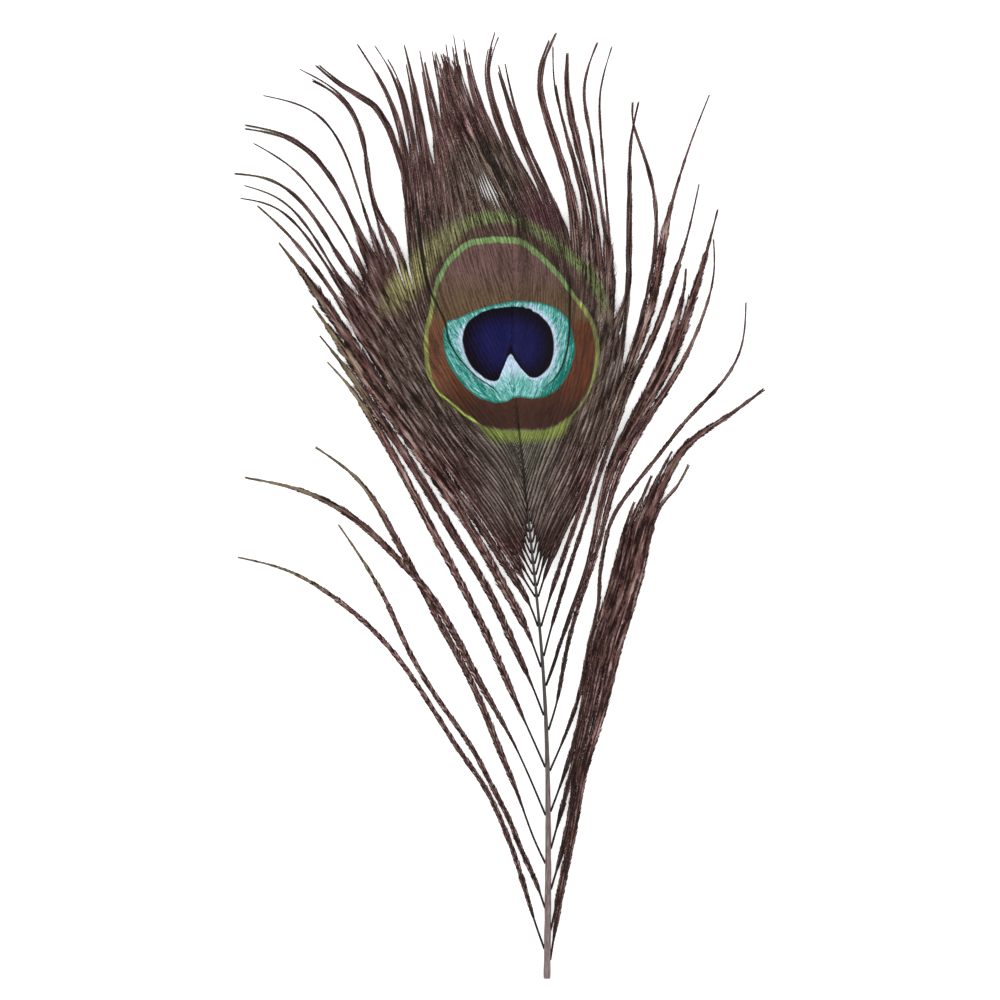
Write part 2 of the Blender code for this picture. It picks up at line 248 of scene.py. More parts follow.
def growWebs(tree, curves):
    lines = linesWith(tree, curves, "web", barbDesign["thinnestWeb"])
    tilted = put(tree, "GeometryNodeSetCurveTilt", {"Curve": lines, "Tilt": trait(tree, "tilt")}).outputs[0]
    lens = put(tree, "GeometryNodeCurvePrimitiveQuadrilateral", {
        "Point 1": (-1.0, 0.0, 0.0), "Point 2": (0.0, 0.08, 0.0), "Point 3": (1.0, 0.0, 0.0),
        "Point 4": (0.0, -0.08, 0.0)}, mode="POINTS").outputs[0]
    return sleeve(tree, tilted, lens, trait(tree, "web"), 0.0)


# which way each barbule points: out from its barb, forward along it and a little up
def barbuleTurn(tree, given, run):
    scatter = given["Scatter"]
    lean = calc(tree, "ADD", trait(tree, "lean"), times(tree, chance(tree, given, -1.0, 1.0, 3), scatter))
    rightward = vectorCalc(tree, "NORMALIZE", vectorCalc(tree, "CROSS_PRODUCT", run, (0.0, 0.0, 1.0)))
    outward = scaled(tree, rightward, times(tree, trait(tree, "side"), calc(tree, "SINE", lean)))
    forward = scaled(tree, run, calc(tree, "COSINE", lean))
    height = calc(tree, "ADD", given["Rise"], times(tree, chance(tree, given, -1.0, 1.0, 4), scatter))
    upward = put(tree, "ShaderNodeCombineXYZ", {"Z": times(tree, height, 0.5)}).outputs[0]
    aim = vectorCalc(tree, "ADD", vectorCalc(tree, "ADD", outward, forward), upward)
    turn = put(tree, "FunctionNodeAxesToRotation", {
        "Primary Axis": aim, "Secondary Axis": (0.0, 0.0, 1.0)}, primary_axis="X", secondary_axis="Z")
    return turn.outputs[0]


# barbules: spaced along each barb, a left and a right one at every stop
def growBarbules(tree, given, curves):
    lines = linesWith(tree, curves, "reach", barbDesign["shortestReach"])
    stops = put(tree, "GeometryNodeCurveToPoints", {
        "Curve": lines, "Length": given["Spacing"]}, mode="LENGTH")
    pairs = put(tree, "GeometryNodeDuplicateElements", {
        "Geometry": stops.outputs["Points"], "Amount": 2}, domain="POINT")
    side = timesPlus(tree, pairs.outputs["Duplicate Index"], 2.0, -1.0)
    points = keep(tree, pairs.outputs["Geometry"], "side", side)
    # fleck: each barbule's random level of painted light, lighter or darker
    points = keep(tree, points, "fleck", chance(tree, given, 0.0, 1.0, 1))
    run = stops.outputs["Tangent"]
    slide = times(tree, chance(tree, given, -0.5, 0.5, 2), given["Spacing"])
    points = put(tree, "GeometryNodeSetPosition", {
        "Geometry": points, "Offset": scaled(tree, run, slide)}).outputs[0]
    reach = times(tree, trait(tree, "reach"), chance(tree, given, 0.86, 1.04, 5))
    size = put(tree, "ShaderNodeCombineXYZ", {
        "X": reach, "Y": given["Blade width"], "Z": given["Blade depth"]}).outputs[0]
    turn = barbuleTurn(tree, given, run)
    blade = put(tree, "GeometryNodeObjectInfo", {"Object": given["Barbule"]}).outputs["Geometry"]
    blades = put(tree, "GeometryNodeInstanceOnPoints", {
        "Points": points, "Instance": blade, "Rotation": turn, "Scale": size}).outputs[0]
    blades = put(tree, "GeometryNodeRealizeInstances", {"Geometry": blades}).outputs[0]
    blades = keep(tree, blades, "acrossBarb", times(tree, trait(tree, "side"), trait(tree, "tip")))
    # how far ahead of its foot each corner lies, as a share of the barb's length
    ahead = times(tree, trait(tree, "tip"), trait(tree, "reach"), calc(tree, "COSINE", trait(tree, "lean")))
    ahead = timesPlus(tree, trait(tree, "edge"), given["Blade width"], ahead)
    blades = keep(tree, blades, "ahead", calc(tree, "DIVIDE", ahead, times(tree, trait(tree, "span"), mm)))
    return keep(tree, blades, "isStalk", 0.0)


# a strip of the map for every barb: its web and barbules on the left, its stalk on the right
def mapStrips(tree, geometry):
    webPlace = timesPlus(tree, trait(tree, "acrossBarb"), 0.4, 0.41)
    stalkPlace = timesPlus(tree, trait(tree, "acrossBarb"), 0.07, 0.91)
    inStrip = mixValue(tree, trait(tree, "isStalk"), webPlace, stalkPlace)
    across = calc(tree, "ADD", trait(tree, "column"), inStrip)
    across = calc(tree, "DIVIDE", across, trait(tree, "columns"))
    along = calc(tree, "ADD", trait(tree, "share"), trait(tree, "ahead"))
    spot = put(tree, "ShaderNodeCombineXYZ", {"X": across, "Y": times(tree, along, 0.98)}).outputs[0]
    return keep(tree, geometry, "OFBake", spot, kind="FLOAT2", domain="CORNER")


# one geometry tree grows every barb: a stalk, a thin web beside it, and barbules off both sides
def makeBarbGrower():
    tree = bpy.data.node_groups.new("growBarbs", "GeometryNodeTree")
    addSockets(tree, "INPUT", {
        "Lines": "Geometry", "Barbule": "Object", "Spacing": "Float", "Blade width": "Float",
        "Blade depth": "Float", "Rise": "Float", "Scatter": "Float", "Seed": "Int",
        "Stalk finish": "Material", "Barbule finish": "Material"})
    addSockets(tree, "OUTPUT", {"Feather": "Geometry"})
    given = tree.nodes.new("NodeGroupInput").outputs
    curves = put(tree, "GeometryNodeMeshToCurve", {"Mesh": given["Lines"]}).outputs[0]
    curves = put(tree, "GeometryNodeSetCurveNormal", {"Curve": curves}, mode="Z_UP").outputs[0]
    joined = tree.nodes.new("GeometryNodeJoinGeometry")
    for part in (growStalks(tree, curves), growWebs(tree, curves), growBarbules(tree, given, curves)):
        tree.links.new(part, joined.inputs[0])
    mapped = mapStrips(tree, joined.outputs[0])
    whole = put(tree, "GeometryNodeRealizeInstances", {"Geometry": mapped}).outputs[0]
    painted = put(tree, "GeometryNodeSetMaterial", {"Geometry": whole, "Material": given["Barbule finish"]})
    isStalk = calc(tree, "GREATER_THAN", trait(tree, "isStalk"), 0.5)
    painted = put(tree, "GeometryNodeSetMaterial", {
        "Geometry": painted.outputs[0], "Selection": isStalk, "Material": given["Stalk finish"]})
    end = tree.nodes.new("NodeGroupOutput")
    tree.links.new(painted.outputs[0], end.inputs[0])
    inputs = [item for item in tree.interface.items_tree if item.in_out == "INPUT"]
    return tree, {item.name: item.identifier for item in inputs}


# one barbule: a closed sliver from x = 0 to x = 1, drooping a little to its tip
def makeBarbule(name, stops):
    build = bmesh.new()
    tip = build.verts.layers.float.new("tip")
    edge = build.verts.layers.float.new("edge")
    rings = []
    for place, wide, drop in stops:
        ring = []
        for sideways, up in ((-0.5, 0.0), (0.5, 0.0), (0.0, 0.6)):
            corner = build.verts.new((place, sideways * wide, up * wide + drop))
            corner[tip] = place
            corner[edge] = sideways * wide
            ring.append(corner)
        rings.append(ring)
    build.faces.new(rings[0])
    for ring, following in zip(rings, rings[1:]):
        for i in range(3):
            build.faces.new((ring[i], ring[(i + 1) % 3], following[(i + 1) % 3], following[i]))
    point = build.verts.new((1.0, 0.0, stops[-1][2] * 2 - 0.04))
    point[tip] = 1.0
    for i in range(3):
        build.faces.new((rings[-1][i], rings[-1][(i + 1) % 3], point))
    bmesh.ops.recalc_face_normals(build, faces=build.faces)
    bmesh.ops.triangulate(build, faces=build.faces)
    mesh = bpy.data.meshes.new(name)
    build.to_mesh(mesh)
    build.free()
    return bpy.data.objects.new(name, mesh)


barbGrower, growerInputs = makeBarbGrower()
longBarbule = makeBarbule("longBarbule", [(0.0, 0.8, 0.0), (0.55, 1.0, -0.1)])
shortBarbule = makeBarbule("shortBarbule", [(0.0, 1.0, 0.0)])
print("barb grower and barbules made")


# a barb: its line in millimetres, and the traits that the tree reads at every point
def describeBarb(line, heights, half, web, quill, lean, tilt=0.0):
    count = len(line)
    span = lengthOf(line)
    fill = np.ones(count)
    return {
        "spots": np.column_stack([line[:, 0] + cutAcross, line[:, 1] + cutAlong, heights]) * mm,
        "quill": quill * fill * mm,
        "web": web * fill * mm,
        "reach": half / np.sin(lean) * fill * mm,
        "lean": lean * fill,
        "tilt": tilt * fill,
        "tone": random.random() * fill,
        "share": np.linspace(0, 1, count),
        "span": span * fill,
    }


# which of the pattern's inputs reads which trait; these stay on the finished mesh
traitSockets = {"Tone": "tone", "Share": "share", "Span": "span", "BarbuleLight": "fleck", "Across": "acrossBarb"}


# grow one piece of the feather from its barbs and hand it to the frame
def growPiece(name, barbs, replaced, growth):
    spots = np.concatenate([barb["spots"] for barb in barbs])
    edges = []
    start = 0
    for barb in barbs:
        count = len(barb["spots"])
        edges += [(start + i, start + i + 1) for i in range(count - 1)]
        start += count
    mesh = bpy.data.meshes.new(name + "Lines")
    mesh.from_pydata(spots.tolist(), edges, [])
    for index, barb in enumerate(barbs):
        barb["column"] = np.full(len(barb["spots"]), float(index))
        barb["columns"] = np.full(len(barb["spots"]), float(len(barbs)))
    for label in barbDesign["traits"]:
        values = np.concatenate([barb[label] for barb in barbs]).astype(np.float32)
        mesh.attributes.new(label, "FLOAT", "POINT").data.foreach_set("value", values)
    lines = bpy.data.objects.new(name + "Lines", mesh)
    bpy.context.scene.collection.objects.link(lines)
    modifier = lines.modifiers.new("growBarbs", "NODES")
    modifier.node_group = barbGrower
    for label, value in growth.items():
        modifier[growerInputs[label]] = value
    settled = bpy.context.evaluated_depsgraph_get()
    grown = bpy.data.meshes.new_from_object(
        lines.evaluated_get(settled), preserve_all_data_layers=True, depsgraph=settled)
    bpy.data.objects.remove(lines)
    grown.name = name
    kept = {"OFBake", "position", "material_index", "sharp_face", *traitSockets.values()}
    for label in [item.name for item in grown.attributes]:
        if label not in kept and not label.startswith("."):
            grown.attributes.remove(grown.attributes[label])
    piece = bpy.data.objects.new(name, grown)
    bpy.context.scene.collection.objects.link(piece)
    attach(piece, "root")
    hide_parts(*replaced)
    triangles = sum(len(face.vertices) - 2 for face in grown.polygons)
    print(f"{name}: {len(barbs)} barbs, {triangles} triangles")
    return piece


eyeDesign = {
    "centre": (-10.0, 172.0),
    "farthest": 60.0,
    # outlines as points on the feather, each a loop seen round the eye's centre
    "pupil": [
        (-10, 168), (-12.2, 163.4), (-13, 161.4), (-14.6, 160.9), (-18.8, 163.2), (-22, 168.3),
        (-22.9, 172), (-21.6, 176.2), (-18.8, 178.9), (-14.6, 180.4), (-9.5, 181), (-4.9, 180.4),
        (-1.1, 178), (1.2, 174.8), (1.8, 171.5), (0.7, 165), (-1.2, 162.7), (-3.5, 161.7), (-6.3, 163.4),
        (-8.4, 166.2),
    ],
    "teal": [
        (-27.5, 176), (-23.5, 178), (-18.8, 180.1), (-13.7, 181.6), (-7.2, 182.4), (-1.6, 181.9),
        (2.1, 180.7), (4.9, 178.5), (6, 176.8), (6.8, 173.8), (7.6, 170.1), (6.8, 165.5), (4.4, 160.8),
        (1.2, 157.6), (-3.4, 156.2), (-8.1, 156.5), (-11.8, 155.2), (-16.5, 155.7), (-21.1, 158.5),
        (-24.8, 162.7), (-27.2, 167.3), (-27.8, 172),
    ],
    "ring": [
        (-16.5, 198.5), (-12.3, 198.6), (-7.2, 198), (-3.9, 195.9), (0.3, 192.2), (3.5, 188.7),
        (6.3, 184.9), (10, 180.3), (12.3, 175.7), (13.5, 170.1), (13.2, 165.5), (11.9, 159.9),
        (9.1, 154.8), (5.8, 151.1), (2.1, 148.7), (-7.2, 147.7), (-16.5, 148.7), (-21.1, 151.3),
        (-25.8, 155.3), (-29.5, 158.5), (-31.3, 162.2), (-32.3, 168.3), (-32.3, 173.8), (-30.9, 180.4),
        (-30.2, 185), (-28.1, 190.1), (-24.8, 194.7), (-21.1, 197.5),
    ],
    "flare": [
        (-16.5, 204.9), (-10.9, 205), (-7.3, 203.6), (-2.5, 201.3), (0.3, 199), (4.5, 195.5), (10, 191.5),
        (13.5, 186), (15.5, 179), (17, 168), (13, 152), (-8, 140), (-28, 148), (-37, 162), (-41, 172),
        (-41.5, 180), (-38, 187), (-33.4, 193.5), (-28.6, 197.6), (-25.4, 200.4), (-21.6, 203.2),
    ],
    # painted shade: dark lines where the barbs part
    "leftSplit": [
        (-35.5, 215), (-34.2, 201), (-32, 187), (-29.6, 181.5), (-27.5, 177), (-26, 171), (-20, 163),
        (-13, 157),
    ],
    "rightSplit": [(7, 198), (6.2, 190), (6, 177), (5.8, 172), (3, 163), (-2, 157)],
    # the last loose barb on the left
    "looseEdge": [(-18, 122), (-34, 145), (-42, 156), (-50, 167.5), (-58, 179), (-65, 189), (-72, 198)],
    # round patches: across, along, height, then the radii where each ends and where it is full
    "patches": {
        "tuft": (-17, 216, 3, 14, 7),
        "purple": (-1.5, 206, 3, 8, 2),
        "bundleTip": (37.5, 137, 0.5, 5, 2.5),
    },
}
# how often the grain changes across a barb and along it
grainDesign = {"streak": (2.2, 0.11), "fleck": (0.8, 0.8), "cloudScale": 0.06}


# set a float curve's points, each within 0 to 1
def drawCurve(node, spots):
    curve = node.mapping.curves[0]
    while len(curve.points) < len(spots):
        curve.points.new(0.5, 0.5)
    for point, spot in zip(curve.points, spots):
        point.location = spot
    node.mapping.update()


# how far outside one of the eye's outlines a place lies, in millimetres
def outsideOf(tree, turn, radius, outline):
    centre = eyeDesign["centre"]
    farthest = eyeDesign["farthest"]
    around = []
    for across, along in outline:
        angle = math.atan2(along - centre[1], across - centre[0]) / math.tau + 0.5
        around.append((angle, math.dist((across, along), centre) / farthest))
    around.sort()
    gap = around[0][0] + 1 - around[-1][0]
    join = around[-1][1] + (around[0][1] - around[-1][1]) * (1 - around[-1][0]) / gap
    node = put(tree, "ShaderNodeFloatCurve", {"Value": turn})
    drawCurve(node, [(0.0, join), *around, (1.0, join)])
    return calc(tree, "SUBTRACT", radius, times(tree, node.outputs[0], farthest))


# how far to the right of a line that climbs the feather a place lies, in millimetres
def rightOfSplit(tree, x, y, route):
    centre = eyeDesign["centre"]
    farthest = eyeDesign["farthest"]
    climb = timesPlus(tree, y, 0.5 / farthest, 0.5)
    node = put(tree, "ShaderNodeFloatCurve", {"Value": climb})
    spots = [((along - centre[1]) / farthest / 2 + 0.5, (across - centre[0]) / farthest / 2 + 0.5)
             for across, along in sorted(route, key=lambda spot: spot[1])]
    drawCurve(node, [(0.0, spots[0][1]), *spots, (1.0, spots[-1][1])])
    return calc(tree, "SUBTRACT", x, timesPlus(tree, node.outputs[0], 2 * farthest, -farthest))


plumage = {
    "pupilMiddle": (0.010, 0.010, 0.075, 1),
    "pupilEdge": (0.005, 0.003, 0.008, 1),
    "rim": (0.60, 0.76, 0.92, 1),
    "tealDeep": (0.003, 0.20, 0.155, 1),
    "tealPale": (0.19, 0.62, 0.55, 1),
    "bronzeMauve": (0.175, 0.10, 0.09, 1),
    "bronzeGolden": (0.15, 0.098, 0.052, 1),
    "maroon": (0.055, 0.028, 0.024, 1),
    "russet": (0.14, 0.047, 0.022, 1),
    "russetPale": (0.19, 0.08, 0.042, 1),
    "russetDark": (0.065, 0.028, 0.018, 1),
    "ringGreen": (0.24, 0.40, 0.15, 1),
    "ringYellow": (0.34, 0.38, 0.10, 1),
    "ringBright": (0.60, 0.82, 0.12, 1),
    "crescent": (0.23, 0.28, 0.07, 1),
    "band": (0.10, 0.062, 0.05, 1),
    "flareYellow": (0.30, 0.28, 0.115, 1),
    "flareGreen": (0.18, 0.235, 0.09, 1),
    "greyOlive": (0.22, 0.185, 0.16, 1),
    "oliveDark": (0.016, 0.011, 0.008, 1),
    "oliveBrown": (0.105, 0.075, 0.056, 1),
    "herlDark": (0.016, 0.007, 0.006, 1),
    "herl": (0.11, 0.053, 0.046, 1),
    "herlPale": (0.315, 0.222, 0.212, 1),
    "purple": (0.085, 0.026, 0.038, 1),
    "straw": (0.2, 0.17, 0.095, 1),
    "apron": (0.15, 0.15, 0.115, 1),
    "seam": (0.008, 0.010, 0.006, 1),
}


# lay a colour over another where a mask is 1; each is a plumage name or a socket
def paint(tree, base, mask, top, strength=1.0):
    base, top = (plumage[colour] if isinstance(colour, str) else colour for colour in (base, top))
    if strength < 1:
        mask = times(tree, mask, strength)
    return mixColour(tree, mask, base, top)


# where a place lies: in millimetres from the eye's centre, from its outlines and from the splits
def measurePlace(tree, given):
    inMm = scaled(tree, given["Place"], 1 / mm)
    centreAcross, centreAlong = eyeDesign["centre"]
    middle = (centreAcross + cutAcross, centreAlong + cutAlong, 0.0)
    spot = put(tree, "ShaderNodeSeparateXYZ", {0: vectorCalc(tree, "SUBTRACT", inMm, middle)})
    x, y = spot.outputs[0], spot.outputs[1]
    # each barb changes colour a little earlier or later than the next
    jitter = timesPlus(tree, given["Tone"], 0.3, -0.15)
    radius = calc(tree, "SQRT", calc(tree, "ADD", times(tree, x, x), times(tree, y, y)))
    radius = calc(tree, "ADD", radius, jitter)
    turn = timesPlus(tree, calc(tree, "ARCTAN2", y, x), 1 / math.tau, 0.5)
    return SimpleNamespace(
        x=x, y=y, inMm=inMm,
        outPupil=outsideOf(tree, turn, radius, eyeDesign["pupil"]),
        outTeal=outsideOf(tree, turn, radius, eyeDesign["teal"]),
        outRing=outsideOf(tree, turn, radius, eyeDesign["ring"]),
        outFlare=outsideOf(tree, turn, radius, eyeDesign["flare"]),
        pastLeft=rightOfSplit(tree, x, y, eyeDesign["leftSplit"]),
        pastRight=rightOfSplit(tree, x, y, eyeDesign["rightSplit"]),
        pastLoose=rightOfSplit(tree, x, y, eyeDesign["looseEdge"]),
    )


# 1 in the middle of one of the eye's patches, fading to 0 at its edge
def inPatch(tree, at, name):
    across, along, height, edge, core = eyeDesign["patches"][name]
    away = vectorCalc(tree, "DISTANCE", at.inMm, (across + cutAcross, along + cutAlong, height))
    return step(tree, away, edge, core)


# a stripe along the line that a place lies away from, with soft sides
def stripe(tree, away, width, outer, inner):
    return step(tree, calc(tree, "DIVIDE", calc(tree, "ABSOLUTE", away), width), outer, inner)


# broad clouds, and long streaks and short flecks that follow each barb; the loose barbs are
# flecked, and the vanes and the bundle on the right are streaked
def addGrain(tree, given, at):
    alongBarb = times(tree, given["Share"], given["Span"])
    noises = []
    for across, along in (grainDesign["streak"], grainDesign["fleck"]):
        sideways = timesPlus(tree, given["Tone"], 400.0, times(tree, given["Across"], across))
        onward = times(tree, alongBarb, along)
        place = put(tree, "ShaderNodeCombineXYZ", {"X": sideways, "Y": onward}).outputs[0]
        noises.append(addNoise(tree, place, 1.1))
    at.streak, at.fine = noises
    at.broad = addNoise(tree, at.inMm, grainDesign["cloudScale"])
    bundled = step(tree, timesPlus(tree, at.y, -0.155, at.x), 33.2, 34.2)
    at.notBundled = calc(tree, "SUBTRACT", 1.0, bundled)
    at.flecked = times(tree, step(tree, at.y, -46.0, -62.0), at.notBundled)
    at.grain = timesPlus(tree, bundled, -0.02, mixValue(tree, at.flecked, at.streak, at.fine))


# red-brown plumage, with painted shade darkening it just right of the shaft
def paintHerl(tree, at):
    colour = paint(tree, "herlDark", step(tree, at.grain, 0.40, 0.50), "herl")
    colour = paint(tree, colour, step(tree, at.grain, 0.53, 0.64), "herlPale", 0.8)
    fromShaft = timesPlus(tree, at.y, 0.085, at.x)
    # painted shade: the barbs just right of the shaft are darkened below the eye, off the bundle
    shadeBesideShaft = times(tree, step(tree, fromShaft, 1.0, 2.0), step(tree, fromShaft, 13.0, 8.0),
                  step(tree, at.y, -40.0, -52.0), at.notBundled)
    return paint(tree, colour, shadeBesideShaft, "herlDark", 0.55)


# olive-brown plumage near the eye and in the tuft above it, grey below the eye, and a purple patch
def paintOlive(tree, at, colour):
    near = step(tree, timesPlus(tree, at.broad, 14.0, at.outRing), 27.0, 9.0)
    near = calc(tree, "MAXIMUM", near, inPatch(tree, at, "tuft"))
    olive = paint(tree, "oliveDark", step(tree, at.grain, 0.40, 0.50), "oliveBrown")
    olive = paint(tree, olive, step(tree, at.grain, 0.52, 0.62), "greyOlive")
    colour = paint(tree, colour, near, olive, 0.8)
    below = times(tree, step(tree, at.y, -24.0, -28.0), step(tree, at.y, -56.0, -42.0),
                  step(tree, awayFrom(tree, at.x, 3.0), 15.0, 5.0))
    grey = paint(tree, "oliveBrown", step(tree, at.grain, 0.42, 0.52), "greyOlive")
    colour = paint(tree, colour, below, grey, 0.75)
    apron = timesPlus(tree, at.y, -0.55, awayFrom(tree, at.x, 4.2))
    apron = times(tree, step(tree, apron, 24.5, 21.0), step(tree, at.y, -23.0, -25.0),
                  step(tree, at.streak, 0.3, 0.6))
    colour = paint(tree, colour, apron, "apron", 0.85)
    return paint(tree, colour, inPatch(tree, at, "purple"), "purple", 0.7)


# straw at the tips of the loose barbs on the left, and at the end of the bundle on the right
def paintTips(tree, given, at, colour):
    leftTips = times(tree, step(tree, given["Share"], 0.74, 0.92), step(tree, at.x, -32.0, -38.0),
                     step(tree, at.pastLoose, 0.6, -0.8))
    tips = calc(tree, "MAXIMUM", leftTips, inPatch(tree, at, "bundleTip"))
    tips = times(tree, tips, step(tree, at.grain, 0.36, 0.52))
    return paint(tree, colour, tips, "straw", 0.7)


# flares of yellow-green above and beside the ring, past a dark band
def paintFlares(tree, at, colour):
    band = times(tree, step(tree, at.outRing, 0.4, 1.2), step(tree, at.outRing, 6.5, 4.0),
                 step(tree, at.y, 4.0, 14.0))
    dark = paint(tree, "maroon", step(tree, at.streak, 0.42, 0.58), "band")
    colour = paint(tree, colour, band, dark, 0.8)
    toLeft = step(tree, at.x, -8.0, -24.0)
    flare = stripe(tree, at.outFlare, timesPlus(tree, toLeft, 2.6, 2.0), 1.25, 0.3)
    patchy = step(tree, timesPlus(tree, toLeft, 0.05, at.streak), 0.41, 0.54)
    cloudy = timesPlus(tree, step(tree, at.broad, 0.42, 0.55), 0.35, 0.6)
    flare = times(tree, flare, step(tree, at.y, 4.0, 16.0), patchy, cloudy)
    return paint(tree, colour, flare, paint(tree, "flareGreen", toLeft, "flareYellow"))


# the crescent below the eye
def paintCrescent(tree, at, colour):
    reach = timesPlus(tree, at.outRing, 1.1, awayFrom(tree, at.x, 4.4))
    crescent = times(tree, step(tree, at.outRing, -0.3, 0.3), step(tree, at.outRing, 4.4, 1.8),
                     step(tree, at.y, -17.0, -22.5), step(tree, reach, 14.0, 11.5))
    return paint(tree, colour, crescent, "crescent")


# the thin ring: wider above and beside the eye, and brightest at the lower left
def paintRing(tree, at, colour):
    x, y = at.x, at.y
    besideEye = times(tree, step(tree, y, 14.0, 8.0), step(tree, y, -14.0, -7.0))
    width = timesPlus(tree, step(tree, y, 8.0, 22.0), 0.5, 0.4)
    above = step(tree, y, 21.0, 26.0)
    below = step(tree, y, -6.0, -14.0)
    for mask, wider in ((above, 0.2), (below, -0.12), (besideEye, 0.24)):
        width = timesPlus(tree, mask, wider, width)
    ring = times(tree, stripe(tree, at.outRing, width, 1.25, 0.7), step(tree, y, -23.5, -21.0))
    lowLeft = times(tree, step(tree, y, -10.0, -16.0), step(tree, x, -2.0, -7.0))
    toRight = times(tree, step(tree, x, 8.0, 13.0), step(tree, y, 12.0, 4.0))
    bright = paint(tree, "ringGreen", step(tree, y, 16.0, 6.0), "ringYellow")
    bright = paint(tree, bright, lowLeft, "ringBright", 0.8)
    bright = paint(tree, bright, toRight, "flareGreen", 0.55)
    bright = paint(tree, bright, step(tree, at.streak, 0.56, 0.40), "maroon", 0.6)
    return paint(tree, colour, ring, bright)


# inside the ring: bronze above the heart, russet beside and below it
def paintInside(tree, at, colour):
    bronze = paint(tree, "bronzeGolden", step(tree, at.y, 9.0, 20.0), "bronzeMauve")
    russet = paint(tree, "russet", step(tree, at.x, -13.0, -18.0), "russetPale")
    russet = paint(tree, russet, step(tree, at.y, -10.0, -20.0), "russetDark")
    lowered = timesPlus(tree, calc(tree, "ABSOLUTE", at.x), -0.12, at.y)
    inner = paint(tree, russet, step(tree, lowered, 1.0, 5.0), bronze)
    inner = paint(tree, inner, step(tree, at.streak, 0.50, 0.38), "maroon", 0.85)
    return paint(tree, colour, step(tree, at.outRing, -0.3, -0.8), inner)


# the pale rim round the pupil: uneven in width, filling the notch and fading out above
def pupilRim(tree, at):
    width = timesPlus(tree, step(tree, at.fine, 0.35, 0.65), 1.2, 0.45)
    rim = step(tree, calc(tree, "DIVIDE", at.outPupil, width), 1.6, 0.6)
    notch = times(tree, step(tree, calc(tree, "ABSOLUTE", at.x), 4.5, 2.5), step(tree, at.y, -12.0, -7.0),
                  step(tree, at.y, -1.0, -3.0))
    above = times(tree, step(tree, at.y, 2.0, 6.0), step(tree, at.x, 6.5, 3.0))
    return times(tree, calc(tree, "MAXIMUM", rim, notch), timesPlus(tree, above, -0.9, 0.95))


# the teal heart with pale streaks, palest between the two splits; the streaks are partly the teal's own paler
# tone and partly painted glints
def paintHeart(tree, at, colour):
    between = times(tree, step(tree, at.pastLeft, 0.0, 0.8), step(tree, at.pastRight, 0.0, -0.8))
    low = step(tree, at.y, 0.0, -14.0)
    farRight = step(tree, at.pastRight, 0.0, 0.6)
    paleAndGlint = calc(tree, "ADD", times(tree, at.streak, 0.5), times(tree, at.fine, 0.5))
    for mask, more in ((between, 0.05), (low, 0.03), (farRight, -0.05)):
        paleAndGlint = timesPlus(tree, mask, more, paleAndGlint)
    teal = paint(tree, "tealDeep", step(tree, paleAndGlint, 0.47, 0.60), "tealPale")
    # painted highlight: the palest streaks become glints in the pale rim colour
    teal = paint(tree, teal, step(tree, paleAndGlint, 0.58, 0.64), "rim", 0.7)
    teal = paint(tree, teal, pupilRim(tree, at), "rim")
    teal = paint(tree, teal, step(tree, at.outTeal, -0.8, -0.2), "tealDeep", 0.8)
    return paint(tree, colour, step(tree, at.outTeal, 0.15, -0.25), teal)


def paintPupil(tree, at, colour):
    pupil = paint(tree, "pupilEdge", step(tree, at.outPupil, -0.5, -7.0), "pupilMiddle")
    return paint(tree, colour, step(tree, at.outPupil, 0.15, -0.25), pupil)


# the splits as painted shade, and the shaft as a thin dark line below the eye
def paintSplits(tree, at, colour):
    wide = timesPlus(tree, step(tree, at.y, 6.0, 14.0), 0.14, 0.28)
    for away, low, high, width in ((at.pastLeft, -15.0, 38.0, wide), (at.pastRight, -14.0, 19.0, 0.27)):
        # painted shade in the gap where the barbs part
        splitShade = times(tree, stripe(tree, away, width, 1.5, 0.6), step(tree, at.y, low, low + 3),
                      step(tree, at.y, high, high - 4), step(tree, at.outPupil, 0.0, 0.3))
        colour = paint(tree, colour, splitShade, "seam", 0.92)
    offShaft = awayFrom(tree, timesPlus(tree, at.y, 0.105, at.x), -0.1)
    faint = times(tree, step(tree, at.y, -8.0, -11.0), 0.2)
    strength = timesPlus(tree, step(tree, at.y, -14.0, -24.0), 0.6, faint)
    return paint(tree, colour, times(tree, step(tree, offShaft, 0.5, 0.15), strength), "seam")


# painted light: every barbule is lit lighter or darker at random outside the eye, much less inside it, and
# each barb's own tone varies too
def lightBarbules(tree, given, at, outside, colour):
    swing = timesPlus(tree, at.flecked, 0.6, timesPlus(tree, outside, 0.25, 0.25))
    level = timesPlus(tree, outside, 0.3, 1.0)
    light = timesPlus(tree, calc(tree, "ADD", given["BarbuleLight"], -0.5), swing, level)
    toneSwing = timesPlus(tree, outside, 0.5, 0.2)
    light = timesPlus(tree, calc(tree, "ADD", given["Tone"], -0.5), toneSwing, light)
    grey = put(tree, "ShaderNodeCombineColor", {0: light, 1: light, 2: light}).outputs[0]
    return mixColour(tree, 1.0, colour, grey, blend="MULTIPLY")


